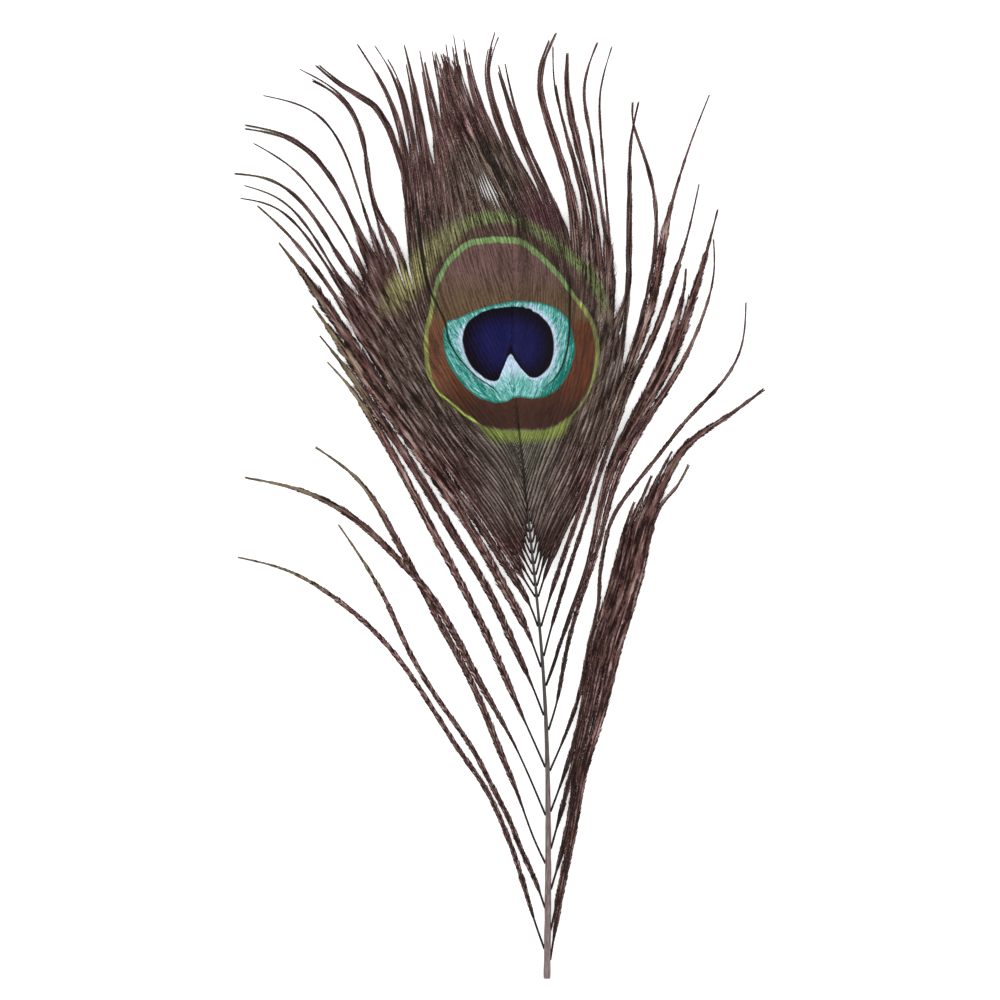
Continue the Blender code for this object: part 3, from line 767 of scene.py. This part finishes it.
# the whole feather's pattern at a place, how glossy it is, and how far inside the eye it lies
def makePatternGroup():
    tree = bpy.data.node_groups.new("featherPattern", "ShaderNodeTree")
    addSockets(tree, "INPUT", {"Place": "Vector", "Tone": "Float", "Share": "Float", "Span": "Float",
                               "BarbuleLight": "Float", "Across": "Float"})
    addSockets(tree, "OUTPUT", {"Colour": "Color", "Gloss": "Float", "Inside": "Float"})
    given = tree.nodes.new("NodeGroupInput").outputs
    at = measurePlace(tree, given)
    addGrain(tree, given, at)
    colour = paintOlive(tree, at, paintHerl(tree, at))
    colour = paintTips(tree, given, at, colour)
    for paintPart in (
            paintFlares, paintCrescent, paintRing, paintInside, paintHeart, paintPupil, paintSplits):
        colour = paintPart(tree, at, colour)
    outside = step(tree, at.outRing, -2.0, 5.0)
    results = {
        "Colour": lightBarbules(tree, given, at, outside, colour),
        "Gloss": timesPlus(tree, step(tree, at.outRing, 1.0, -1.0), 0.5, 0.3),
        "Inside": calc(tree, "SUBTRACT", 1.0, outside),
    }
    end = tree.nodes.new("NodeGroupOutput")
    for label, socket in results.items():
        tree.links.new(socket, end.inputs[label])
    return tree


featherPattern = makePatternGroup()
print("feather pattern made")


def newFinish(name):
    finish = bpy.data.materials.new(name)
    finish.use_nodes = True
    tree = finish.node_tree
    return finish, tree, tree.nodes["Principled BSDF"]


# a pattern node fed by the traits that each barb carries, which are returned with its outputs
def addPattern(tree):
    pattern = put(tree, "ShaderNodeGroup", node_tree=featherPattern)
    traits = {}
    tree.links.new(put(tree, "ShaderNodeTexCoord").outputs["Object"], pattern.inputs["Place"])
    for socket, label in traitSockets.items():
        traits[label] = put(tree, "ShaderNodeAttribute", attribute_name=label).outputs["Fac"]
        tree.links.new(traits[label], pattern.inputs[socket])
    return pattern.outputs, traits


hornColours = {
    "darkest": (0.010, 0.006, 0.006, 1),
    "dark": (0.032, 0.020, 0.019, 1),
    "lowDark": (0.08, 0.045, 0.045, 1),
    "lowPale": (0.26, 0.19, 0.19, 1),
    "highDark": (0.012, 0.007, 0.007, 1),
    "highPale": (0.05, 0.034, 0.034, 1),
    "pith": (0.52, 0.47, 0.42, 1),
}


def makeBarbuleFinish():
    finish, tree, shader = newFinish("barbuleSheen")
    pattern, traits = addPattern(tree)
    # painted shade: darker towards the edge of the barb, where it passes under the next one, much less inside
    # the eye
    edge = step(tree, calc(tree, "ABSOLUTE", traits["acrossBarb"]), 0.4, 0.9)
    depth = timesPlus(tree, pattern["Inside"], -0.7, 0.92)
    colour = mixColour(tree, times(tree, edge, depth), pattern["Colour"], hornColours["darkest"])
    tree.links.new(colour, shader.inputs["Base Color"])
    rough = timesPlus(tree, pattern["Gloss"], -0.3, 0.62)
    tree.links.new(rough, shader.inputs["Roughness"])
    shader.inputs["Specular IOR Level"].default_value = 0.05
    return finish


def makeStalkFinish():
    finish, tree, shader = newFinish("stalkHorn")
    pattern, _ = addPattern(tree)
    place = put(tree, "ShaderNodeTexCoord").outputs["Object"]
    grain = addNoise(tree, place, 900.0)
    horn = mixColour(tree, step(tree, grain, 0.35, 0.7), hornColours["darkest"], hornColours["dark"])
    depth = timesPlus(tree, pattern["Inside"], -0.65, 0.95)
    colour = mixColour(tree, depth, pattern["Colour"], horn)
    tree.links.new(colour, shader.inputs["Base Color"])
    tree.links.new(timesPlus(tree, grain, 0.25, 0.4), shader.inputs["Roughness"])
    shader.inputs["Specular IOR Level"].default_value = 0.08
    return finish


barbuleFinish = makeBarbuleFinish()
stalkFinish = makeStalkFinish()
print("barb finishes made")


def makeShaftFinish():
    finish, tree, shader = newFinish("shaftHorn")
    place = put(tree, "ShaderNodeTexCoord").outputs["Object"]
    inMm = scaled(tree, place, 1 / mm)
    spot = put(tree, "ShaderNodeSeparateXYZ", {0: inMm})
    along = calc(tree, "SUBTRACT", spot.outputs[1], cutAlong)
    stretched = vectorCalc(tree, "MULTIPLY", inMm, (6.0, 0.35, 6.0))
    grain = addNoise(tree, stretched, 0.9, 4.0)
    grainy = step(tree, grain, 0.35, 0.68)
    low = mixColour(tree, grainy, hornColours["lowDark"], hornColours["lowPale"])
    high = mixColour(tree, grainy, hornColours["highDark"], hornColours["highPale"])
    colour = mixColour(tree, step(tree, along, 25.0, 85.0), low, high)
    colour = mixColour(tree, step(tree, along, 0.25, 0.05), colour, hornColours["pith"])
    tree.links.new(colour, shader.inputs["Base Color"])
    tree.links.new(timesPlus(tree, grain, 0.3, 0.28), shader.inputs["Roughness"])
    bump = put(tree, "ShaderNodeBump", {"Height": grain, "Strength": 0.25, "Distance": 0.0001})
    tree.links.new(bump.outputs[0], shader.inputs["Normal"])
    return finish


# the shaft: round above and grooved below, thinning towards the eye
def buildShaft():
    sides = 20
    rings = 160
    line = smoothRoute(shaftDesign["route"], rings)
    right = rightOf(line)
    build = bmesh.new()
    mapLayer = build.loops.layers.uv.new("OFBake")
    loops = []
    for i, (across, along) in enumerate(line):
        width = shaftWidth(along) * (1 - 0.22 * smoothStep((along - 20) / 60))
        depth = width * shaftDesign["depth"]
        under = shaftUnderside(along)
        wobble = 1 + 0.05 * math.sin(along * 0.9) * math.sin(along * 0.23 + 1)
        ring = []
        for k in range(sides):
            angle = math.tau * k / sides - math.pi / 2
            reach = width / 2 * wobble * math.cos(angle)
            rise = (math.sin(angle) + 1) / 2
            groove = 0.12 * math.exp(-(math.cos(angle) / 0.35) ** 2) if math.sin(angle) < 0 else 0.0
            ring.append(build.verts.new(((across + right[i, 0] * reach + cutAcross) * mm,
                                         (along + right[i, 1] * reach + cutAlong) * mm,
                                         (under + depth * (rise + groove)) * mm)))
        loops.append(ring)
    for i in range(rings - 1):
        for k in range(sides):
            after = (k + 1) % sides
            panel = build.faces.new((loops[i][k], loops[i][after], loops[i + 1][after], loops[i + 1][k]))
            panel.smooth = True
            for loop, (u, v) in zip(panel.loops, ((k, i), (k + 1, i), (k + 1, i + 1), (k, i + 1))):
                loop[mapLayer].uv = (0.9 * u / sides, v / (rings - 1))
    for ring, low in ((list(reversed(loops[0])), 0.02), (loops[-1], 0.52)):
        cap = build.faces.new(ring)
        for k, loop in enumerate(cap.loops):
            turn = math.tau * k / sides
            loop[mapLayer].uv = (0.95 + 0.04 * math.cos(turn), low + 0.2 + 0.18 * math.sin(turn))
    bmesh.ops.recalc_face_normals(build, faces=build.faces)
    mesh = bpy.data.meshes.new("featherShaft")
    build.to_mesh(mesh)
    build.free()
    mesh.materials.append(makeShaftFinish())
    piece = bpy.data.objects.new("featherShaft", mesh)
    bpy.context.scene.collection.objects.link(piece)
    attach(piece, "root")
    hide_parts("shaft")
    print("featherShaft done")


buildShaft()


looseDesign = {
    "stepLength": 1.6,        # between the points of a barb's line
    "lean": 20,               # of the barbules, in degrees
    "lift": 1.1,
    "otherLifts": {"barb_left_3": 0.6, "barb_left_4": 2.6},
    "tip": 0.3,               # how wide the tip is, as a share of the barb
    "otherTips": {
        "barb_left_5": 0.18, "barb_left_6": 0.18, "barb_left_7": 0.18, "barb_left_8": 0.18,
        "barb_right_3": 0.2, "clinging": 0.2,
    },
    # where each leaves the shaft, bare length, half width, how much it widens on its way, and its route
    "left": [
        (8, 6, 0.75, 0, [
            (-3, 14.5), (-8, 31), (-11.7, 41), (-16.7, 51.5), (-22.5, 60), (-30, 71.5), (-44, 91),
            (-57, 102.5), (-70, 110), (-83, 113.5)]),
        (19, 3, 0.75, 0, [
            (-3, 26), (-7, 35), (-9.8, 42), (-14.3, 51), (-19.8, 61.5), (-27, 72), (-33, 81), (-38, 90),
            (-43, 101), (-48, 110), (-56, 122)]),
        (31, 12, 0.95, 0, [
            (-3, 36.5), (-8, 50), (-12.5, 61), (-17.3, 73), (-24, 87), (-29.5, 97), (-34, 106),
            (-41, 119), (-51, 134.5), (-62, 143)]),
        (44, 15, 1.0, 0, [
            (-5, 55), (-10.5, 66.5), (-17, 78), (-22, 87.5), (-27.5, 97.5), (-33, 105.5), (-38, 111),
            (-46, 119), (-54, 125.5), (-66, 131.5), (-81, 135)]),
        (57, 10, 1.05, 0.1, [
            (-4, 65), (-8.5, 75), (-15, 90), (-24, 108), (-33, 125), (-42, 142), (-46.5, 149.5),
            (-52, 158), (-59, 166)]),
        (71, 7, 1.1, 0.15, [
            (-4, 79), (-9, 90), (-15.5, 104), (-24, 118), (-31.5, 130.5), (-39, 142.5), (-44.5, 150.5),
            (-52, 161.5), (-61, 173)]),
        (84, 6, 1.3, 0.35, [
            (-5, 93), (-11, 104.5), (-19.5, 119.5), (-27.5, 131.5), (-36, 144), (-43, 153.5), (-52, 166),
            (-63, 181)]),
        (95, 5, 1.2, 0.4, [
            (-5, 101.5), (-9.5, 109), (-18, 122), (-26, 133.5), (-34, 145), (-42, 156), (-50, 167.5),
            (-58, 179), (-65, 189), (-72, 198)]),
    ],
    "bundleEdge": [
        (1.6, 10), (4.5, 26), (7.4, 40), (9.3, 51), (11.3, 60), (14.5, 70), (17.2, 81), (19.8, 91),
        (22.6, 100), (24.9, 108), (26.7, 116), (28.6, 123),
    ],
    "bundlePitch": [(10, 0.5), (30, 0.65), (47, 0.8), (65, 1.1), (85, 1.45), (130, 1.45)],
    # where each leaves the shaft, its place in the band, bare length, half width, how much it widens,
    # and its way off the band
    "bundle": [
        (5, 0, 4, 0.8, 0.45, [
            (31, 128), (34.5, 132), (38, 138)]),
        (13, 1, 4, 0.85, 0.7, [
            (28.8, 127.5), (32.8, 136.5), (38, 144), (47, 150.5), (58, 158.5)]),
        (24, 2.5, 4, 0.85, 0.7, [
            (27, 128.2), (30.2, 135.5), (33.5, 141.7)]),
        (35, 3.75, 4, 0.75, 0.6, [
            (25.2, 128.5), (28, 135)]),
        (45, 4.6, 5, 0.75, 0.5, [
            (23.4, 128)]),
        (56, 5.5, 5, 0.6, 0, [
            (13.9, 101.5), (14.2, 108), (15.2, 115), (17, 122.5), (22, 131), (30, 141), (38, 151),
            (47, 160.5), (52, 169), (53.7, 182)]),
    ],
    "right": [
        (67, 5, 0.65, 0.55, [
            (2.5, 74), (4.4, 84), (6.7, 94.5), (10, 105), (13, 114), (15.6, 124), (18.9, 135),
            (25, 147.5), (31, 157), (37.5, 168), (42.5, 180), (45, 190), (45, 199)]),
        (79, 5, 0.6, 1.3, [
            (2, 86), (5.4, 95.5), (8.9, 105), (12, 115), (14.2, 125), (17.4, 136.5), (23.3, 148.5),
            (29, 158.5), (34.5, 169.5), (38.8, 182), (42.5, 194), (46, 207)]),
        (87, 5, 0.65, 0.5, [
            (0.8, 93.5), (3.6, 103), (6.7, 113), (10, 123), (13.6, 134.5), (18, 147.5), (22.4, 160),
            (28.6, 173), (31.7, 181), (34.3, 189), (37.2, 198), (41, 214)]),
        (95, 5, 0.75, 0.75, [
            (0.3, 101.5), (3.4, 111), (7.3, 122), (11.4, 134.3), (16, 148), (20.8, 161), (25, 172),
            (28.2, 182), (30, 191), (31.6, 200.5), (34.5, 212), (39, 226), (43.7, 238)]),
    ],
    # where along its length a barb thins to a thread, and by how much
    "threads": {
        "barb_right_7": (0.68, 0.4), "barb_right_8": (0.86, 0.4), "barb_right_9": (0.78, 0.4),
        "barb_right_10": (0.69, 0.6),
    },
    # a second barb that clings to another and breaks off short
    "clinging": {"barb_right_8": (79, 30, 1.1, 0.3, [
        (2.4, 86), (5, 95.5), (8.4, 105), (11.4, 115), (13.6, 125), (16.6, 136.5), (22, 148.5),
        (27.4, 158.5), (32.3, 169.5), (35.6, 180), (37, 186), (37.5, 191)])},
}
looseGrowth = {
    "Barbule": longBarbule,
    "Spacing": 0.2 * mm,
    "Blade width": 0.3 * mm,
    "Blade depth": 0.1 * mm,
    "Rise": 0.14,
    "Scatter": 0.07,
    "Stalk finish": stalkFinish,
    "Barbule finish": barbuleFinish,
}


def besideShaft(along, side):
    return (shaftAcross(along) + side * (shaftWidth(along) / 2 - 0.1), along)


# the half width of a barb from its bare foot to its fine tip, with uneven pulses
def barbProfile(share, span, bareLength, half, tip, full):
    fromFoot = share * span
    grow = smoothStep((fromFoot + 0.8 - bareLength * 0.5) / (bareLength * 2.2 + 0.1))
    taper = 1 - (1 - tip) * smoothStep((share - full) / (1 - full))
    phase = random.random() * 10
    pulse = 1 + 0.12 * np.sin(fromFoot * 0.9 + phase) + 0.13 * np.sin(fromFoot * 2.4 + phase * 2)
    return half * grow * taper * pulse


# one loose barb from a row of looseDesign; its node's name picks its lift, tip and thread
def looseBarb(node, side, row):
    root, bareLength, half, swell, route = row
    tip = looseDesign["otherTips"].get(node, looseDesign["tip"])
    lift = looseDesign["otherLifts"].get(node, looseDesign["lift"])
    threadFrom, thinner = looseDesign["threads"].get(node, (1, 0))
    span = lengthOf(smoothRoute([besideShaft(root, side)] + route, 60))
    count = int(span / looseDesign["stepLength"])
    line = smoothRoute([besideShaft(root, side)] + route, count)
    share = np.linspace(0, 1, count)
    footHeight = shaftUnderside(root) + shaftWidth(root) * shaftDesign["depth"] / 2
    heights = footHeight * (1 - smoothStep(share)) + 0.3 * smoothStep(share) + lift * np.sin(math.pi * share)
    spread = barbProfile(share, span, bareLength, half, tip, 0.88 - 0.45 * tip)
    spread *= 1 + swell * smoothStep((share - 0.3) / 0.25)
    spread *= 1 - thinner * smoothStep((share - threadFrom) / 0.12)
    quill = 0.3 - 0.22 * smoothStep(share / 0.8)
    return describeBarb(line, heights, spread, spread * 0.82, quill, math.radians(looseDesign["lean"]))


# the bundle's barbs run side by side along its edge, then leave it on their own ways
def bundleRows():
    edge = smoothRoute(looseDesign["bundleEdge"], 11)
    inward = -rightOf(edge)
    rows = []
    for root, rank, bare, half, swell, ending in looseDesign["bundle"]:
        route = []
        for spot, aside in zip(edge, inward):
            across, along = spot + aside * float(readOff(looseDesign["bundlePitch"], spot[1])) * rank
            if across - shaftAcross(along) > 1.8 and root + 13 < along < ending[0][1] - 3:
                route.append((across, along))
        rows.append((root, bare, half, swell, route + ending))
    return rows


def buildLooseBarbs():
    for label, side, firstSeed, rows in (
            ("left", -1, 0, looseDesign["left"]), ("right", 1, 20, bundleRows() + looseDesign["right"])):
        for number, row in enumerate(rows, 1):
            node = f"barb_{label}_{number}"
            together = [looseBarb(node, side, row)]
            if node in looseDesign["clinging"]:
                together.append(looseBarb("clinging", side, looseDesign["clinging"][node]))
            growth = dict(looseGrowth, Seed=firstSeed + number)
            growPiece(f"barb{label.title()}{number}", together, [node], growth)
    print("loose barbs done")


buildLooseBarbs()


vaneDesign = {
    "pitches": [
        (100, 3.0), (122, 2.8), (127, 2.5), (131, 1.8), (135, 1.3), (141, 1.3), (150, 2.1), (200, 2.6),
    ],
    "lastRoot": 197,
    "guideStops": 60,
    "closing": (128, 14),           # from this root on the web closes over the shaft, over this length
    "lean": 21,                     # of the barbules, in degrees
    "tilt": 6,                      # of the webs below the eye, in degrees
    # free ends wander a little, and some cross the others; some barbs are shorter than their lock
    "wander": 0.3,
    "crossShare": 0.3,
    "crossing": 2.2,
    "shortest": 0.91,
    "parts": [("Lower", 0, 131), ("Eye", 131, 156), ("Crown", 156, 999)],
    # half widths where the web holds and where a barb runs free, and the stalk's radius, by root
    "webHalf": [(100, 1.2), (127, 1.25), (135, 0.85), (150, 0.95), (200, 1.0)],
    "freeHalf": [(100, 0.8), (125, 0.72), (140, 0.42), (200, 0.38)],
    "slimming": (0.6, 0.85, 1.2),   # free barbs differ in width below the eye
    "quill": [(100, 0.28), (126, 0.28), (138, 0.22), (150, 0.13), (200, 0.12)],
    "bareLength": [(100, 5), (110, 3.6), (117, 2.2), (122, 1), (126, 0)],
    # where the left vane's last barbs thin out and the light shows through
    "thinRoot": 181,
    "thinAlong": 213,
    "seam": [(-9, 203), (-14, 214), (-19.3, 225), (-24, 236), (-28, 249)],
    "seamJoin": 0.86,
    # where each lock leaves the shaft, how much of its length holds to the next lock inwards, its route
    "left": [
        (103, 0.62, [
            (-12, 117), (-23, 133.5), (-35, 150.5), (-50, 173.5), (-57, 184), (-64, 193.5), (-71, 201.5),
            (-78, 208)]),
        (107, 0.62, [
            (-12, 121), (-22.5, 136.5), (-34, 153.5), (-44, 169), (-52, 181.5), (-59, 192.5),
            (-65.5, 202), (-73, 209), (-82, 212)]),
        (111, 0.6, [
            (-12, 125.5), (-22, 139.5), (-33, 156), (-42, 171), (-49.5, 184), (-54.5, 192), (-60, 201),
            (-66, 209), (-74, 215), (-84, 217)]),
        (115, 0.58, [
            (-12, 129.5), (-22.5, 143.5), (-32, 158.5), (-40.5, 173.5), (-48, 187.5), (-54.5, 200.5),
            (-60, 209.5), (-67, 218.5), (-78, 226.5)]),
        (119, 0.56, [
            (-12, 133.5), (-22, 146), (-31, 160.5), (-39, 175.5), (-46, 190), (-51.5, 202.5),
            (-56.5, 213), (-61.5, 220.5), (-69, 226.7), (-81, 230)]),
        (123, 0.55, [
            (-12, 137), (-21.5, 149), (-30, 162.5), (-37.5, 177.5), (-43.5, 191), (-48, 203), (-52, 214),
            (-56, 223.5), (-63, 232), (-76.5, 236)]),
        (127, 0.5, [
            (-12, 140.5), (-21, 151.5), (-29, 164.5), (-36, 179), (-40.8, 191.5), (-45, 203), (-48, 215),
            (-50, 227), (-55, 236.5), (-67, 244)]),
        (131, 0.6, [
            (-12.5, 144), (-20.5, 154), (-28, 166.5), (-33.5, 180), (-36, 193), (-37, 205), (-38.2, 215),
            (-41.4, 226), (-47, 235.5), (-53.5, 239.5), (-62, 246)]),
        (135, 0.66, [
            (-12.5, 147.5), (-20, 157), (-27, 168.5), (-32, 181), (-35, 193.5), (-36.5, 206), (-38, 219),
            (-40, 230), (-44, 240), (-51, 251.5)]),
        (140, 0.6, [
            (-13, 151.5), (-19.5, 160.5), (-25.3, 171), (-29.7, 183), (-32.3, 195.5), (-34, 208),
            (-35.5, 221), (-38, 234), (-41.5, 244), (-46, 251.5)]),
        (147, 0.62, [
            (-13.5, 158), (-18.5, 166), (-23.2, 176), (-26.8, 187), (-29.3, 198.5), (-31, 210.5),
            (-33, 223), (-35.2, 236), (-38.5, 251.5)]),
        (157, 0.66, [
            (-13, 167), (-17, 175), (-20.5, 184.5), (-23.5, 195), (-25.8, 207), (-28, 220), (-31, 234),
            (-34, 250)]),
        (171, 0.74, [
            (-12, 180), (-14.5, 189), (-17, 199), (-20, 210), (-23.5, 222), (-27.5, 235), (-31, 250)]),
    ],
    "right": [
        (103, 0.4, [
            (1.5, 114.5), (8, 128.5), (13.8, 142), (18.8, 155.5), (22.9, 169.5), (26.2, 181.5),
            (28.3, 193), (28.8, 202), (27.9, 211), (26, 218), (23.4, 225), (21.4, 231), (21.2, 236)]),
        (107, 0.42, [
            (0.5, 118), (6.5, 131), (12, 144.5), (16.2, 157.5), (19.8, 171), (21.8, 185), (22.2, 199),
            (22.4, 213), (22.8, 225), (25, 236)]),
        (111, 0.54, [
            (0, 121.5), (5.5, 133.5), (10.6, 146.5), (14.3, 159), (16.4, 172.5), (17.2, 187), (16.9, 201),
            (16, 213), (14.7, 227), (14.4, 239), (17.5, 251)]),
        (115, 0.5, [
            (-0.5, 125.5), (4.5, 136.5), (9.3, 148.5), (13.2, 161), (15.6, 174.5), (16.2, 188),
            (15.4, 202), (13.2, 215), (11.4, 228), (10, 240), (13.5, 252)]),
        (119, 0.5, [
            (-1, 129.5), (3.5, 140), (7.9, 151), (11.2, 163), (13.2, 176), (13.6, 189), (13, 203),
            (10.3, 216), (7.2, 229), (5.4, 240), (5.5, 249)]),
        (124, 0.53, [
            (-1.5, 134), (2.5, 143.5), (6.3, 154), (9.1, 165.5), (10.6, 178), (11.2, 191), (10.8, 204.5),
            (8, 218), (4, 231.5), (1.7, 242), (1.2, 251)]),
        (129, 0.54, [
            (-2, 139), (1.3, 147.5), (4.7, 157.5), (7, 168.5), (8.4, 180.5), (8.8, 193), (7.6, 207),
            (4, 220), (0, 232), (-1.9, 243), (2, 255)]),
        (135, 0.54, [
            (-2.5, 145), (0.2, 153), (2.9, 162), (4.7, 172), (5.2, 184), (4, 196), (0.8, 209),
            (-4.3, 221), (-9, 233), (-12.8, 246)]),
        (142, 0.58, [
            (-3.2, 151.5), (-1, 159.5), (1, 168.5), (2.1, 178.5), (1.9, 189.5), (-0.2, 201), (-4.7, 213),
            (-10.3, 224), (-14.5, 235), (-16.3, 245), (-14.3, 255)]),
        (151, 0.62, [
            (-4.2, 160.5), (-2.6, 169), (-1.4, 178.5), (-1.5, 189), (-3.8, 201), (-8.6, 213), (-14, 225),
            (-18.5, 236), (-21.2, 246), (-22.5, 253)]),
        (163, 0.7, [
            (-6.2, 173), (-5.2, 182.5), (-5.3, 192), (-7, 202), (-11.5, 213), (-17, 225), (-21.7, 237),
            (-25.5, 254)]),
    ],
}
vaneGrowth = {
    "Barbule": shortBarbule,
    "Spacing": 0.28 * mm,
    "Blade width": 0.24 * mm,
    "Blade depth": 0.06 * mm,
    "Rise": 0.1,
    "Scatter": 0.09,
    "Seed": 50,
    "Stalk finish": stalkFinish,
    "Barbule finish": barbuleFinish,
}


# how far the web has closed over the shaft where a barb leaves it
def closedOver(root):
    start, length = vaneDesign["closing"]
    return float(smoothStep((root - start) / length))


# a vane's barbs leave the shaft's side, and under the eye its top, so that the web closes over it
def vaneFoot(root, side):
    across, along = besideShaft(root, side)
    over = closedOver(root)
    return across + (shaftAcross(root) - side * 0.45 - across) * over, along - 1.3 * over


# the lines that a vane's barbs follow: one for each lock, and the seam between the two vanes
def vaneGuides(side, locks):
    stops = vaneDesign["guideStops"]
    guides = [(root, join, smoothRoute([vaneFoot(root, side)] + route, stops)) for root, join, route in locks]
    last = vaneDesign["lastRoot"]
    seam = [(across + side * 0.2, along) for across, along in vaneDesign["seam"]]
    guides.append((last, vaneDesign["seamJoin"], smoothRoute([vaneFoot(last, side)] + seam, stops)))
    return guides


# a barb's line lies between the two locks that its foot lies between; past its join it leaves
# the web and runs beside the others of its lock
def vaneLine(side, root, pitch, guides):
    roots, joins, lines = zip(*guides)
    i = min(max(int(np.searchsorted(roots, root, side="right")) - 1, 0), len(roots) - 2)
    part = (root - roots[i]) / (roots[i + 1] - roots[i])
    line = lines[i] * (1 - part) + lines[i + 1] * part
    join = joins[i] * (1 - part) + joins[i + 1] * part
    lock = i if part < 0.5 else i + 1
    rank = (root - roots[lock]) / pitch
    share = np.linspace(0, 1, len(line))
    free = smoothStep((share - join) / 0.15)
    onward = np.clip((share - join) / (1.001 - join), 0, 1)
    beside = -side * rank * (0.66 - 0.5 * onward)
    wander = vaneDesign["wander"]
    crosses = random.random() < vaneDesign["crossShare"]
    if crosses:
        drift = random.uniform(-vaneDesign["crossing"], vaneDesign["crossing"]) * onward ** 2
    else:
        drift = random.uniform(-wander, wander) * onward
    wave = wander / 2 * np.sin(share * 13 + random.random() * 6)
    home = lines[lock] + rightOf(lines[lock]) * (beside + drift + wave)[:, None]
    line = line + (home - line) * free[:, None]
    whole = 1.0 if abs(rank) < 0.6 else random.uniform(vaneDesign["shortest"], 1.0)
    return line, free, whole


# one barb of a vane, from its foot on the shaft to its free tip
def vaneBarb(side, root, pitch, guides):
    line, free, whole = vaneLine(side, root, pitch, guides)
    span = lengthOf(line) * whole
    count = max(int(span / 2.0), 20)
    share = np.linspace(0, 1, len(line))
    at = np.linspace(0, whole, count)
    line = np.column_stack([np.interp(at, share, line[:, k]) for k in (0, 1)])
    loose = np.interp(at, share, free)
    under = shaftUnderside(root) + 0.45 + 0.5 * closedOver(root)
    lift = random.uniform(0.0, 0.6) * loose
    heights = under * (1 - smoothStep(at)) + 0.35 * smoothStep(at) + lift + 0.25 + 0.04 * side
    webHalf, freeHalf, quill, bare = (
        float(readOff(vaneDesign[name], root)) for name in ("webHalf", "freeHalf", "quill", "bareLength"))
    along = np.linspace(0, 1, count)
    slim = random.choice(vaneDesign["slimming"])
    freeHalf = freeHalf * (slim if root < 132 else 1.0)
    webHalf = webHalf * (1 + 0.5 * smoothStep((at - 0.12) / 0.35) * (1 - smoothStep((root - 118) / 12)))
    spread = barbProfile(along, span, bare, webHalf + (freeHalf - webHalf) * loose, 0.5, 0.84)
    if side < 0 and root > vaneDesign["thinRoot"]:
        spread *= 1 - 0.78 * np.exp(-((line[:, 1] - vaneDesign["thinAlong"]) / 7.5) ** 2)
    quill = quill * (1 - 0.6 * smoothStep(along))
    tilt = math.radians(vaneDesign["tilt"]) * side * (1 - float(smoothStep((root - 128) / 8)))
    lean = math.radians(vaneDesign["lean"])
    return describeBarb(line, heights, spread, spread * 0.8, quill, lean, tilt=tilt)


def vaneBarbs(side, locks):
    guides = vaneGuides(side, locks)
    barbs = []
    root = float(guides[0][0])
    while root <= vaneDesign["lastRoot"]:
        pitch = float(readOff(vaneDesign["pitches"], root))
        barbs.append((root, vaneBarb(side, root, pitch, guides)))
        root += pitch
    return barbs


def buildVanes():
    for label, side in (("left", -1), ("right", 1)):
        barbs = vaneBarbs(side, vaneDesign[label])
        for part, low, high in vaneDesign["parts"]:
            chosen = [barb for root, barb in barbs if low <= root < high]
            growth = dict(vaneGrowth, Seed=vaneGrowth["Seed"] + len(part) + side)
            growPiece(f"vane{label.title()}{part}", chosen, [f"vane_{label}"], growth)
    print("vanes done")


buildVanes()


studio = {
    "floorSize": 8.0,
    "cameraHeight": 0.75,
    "lens": 100,
    "aim": (0.3 * mm, 1.5 * mm),
    "lamps": {"softLeft": ((-0.7, 0.5, 1.1), 5.5), "softRight": ((0.8, -0.3, 1.2), 4.5)},
}


def buildStudio():
    build = bmesh.new()
    half = studio["floorSize"] / 2
    corners = ((-half, -half), (half, -half), (half, half), (-half, half))
    build.faces.new([build.verts.new((x, y, -0.2 * mm)) for x, y in corners])
    mesh = bpy.data.meshes.new("floor")
    build.to_mesh(mesh)
    build.free()
    finish, tree, shader = newFinish("paleFloor")
    shader.inputs["Base Color"].default_value = (0.9, 0.9, 0.9, 1)
    shader.inputs["Roughness"].default_value = 0.9
    shader.inputs["Emission Color"].default_value = (1, 1, 1, 1)
    shader.inputs["Emission Strength"].default_value = 0.5
    mesh.materials.append(finish)
    floor = bpy.data.objects.new("floor", mesh)
    bpy.context.scene.collection.objects.link(floor)

    scene = bpy.context.scene
    world = bpy.data.worlds.new("studio")
    world.use_nodes = True
    world.node_tree.nodes["Background"].inputs[0].default_value = (1, 1, 1, 1)
    world.node_tree.nodes["Background"].inputs[1].default_value = 0.85
    scene.world = world
    for name, (spot, power) in studio["lamps"].items():
        light = bpy.data.lights.new(name, "AREA")
        light.size = 1.0
        light.energy = power
        lamp = bpy.data.objects.new(name, light)
        lamp.location = spot
        lamp.rotation_euler = (Vector((0, 0, 0)) - Vector(spot)).to_track_quat("-Z", "Y").to_euler()
        scene.collection.objects.link(lamp)
    camera = bpy.data.cameras.new("camera")
    camera.lens = studio["lens"]
    eye = bpy.data.objects.new("camera", camera)
    eye.location = (*studio["aim"], studio["cameraHeight"])
    scene.collection.objects.link(eye)
    scene.camera = eye
    scene.view_settings.view_transform = "Standard"
    print("studio done")


buildStudio()
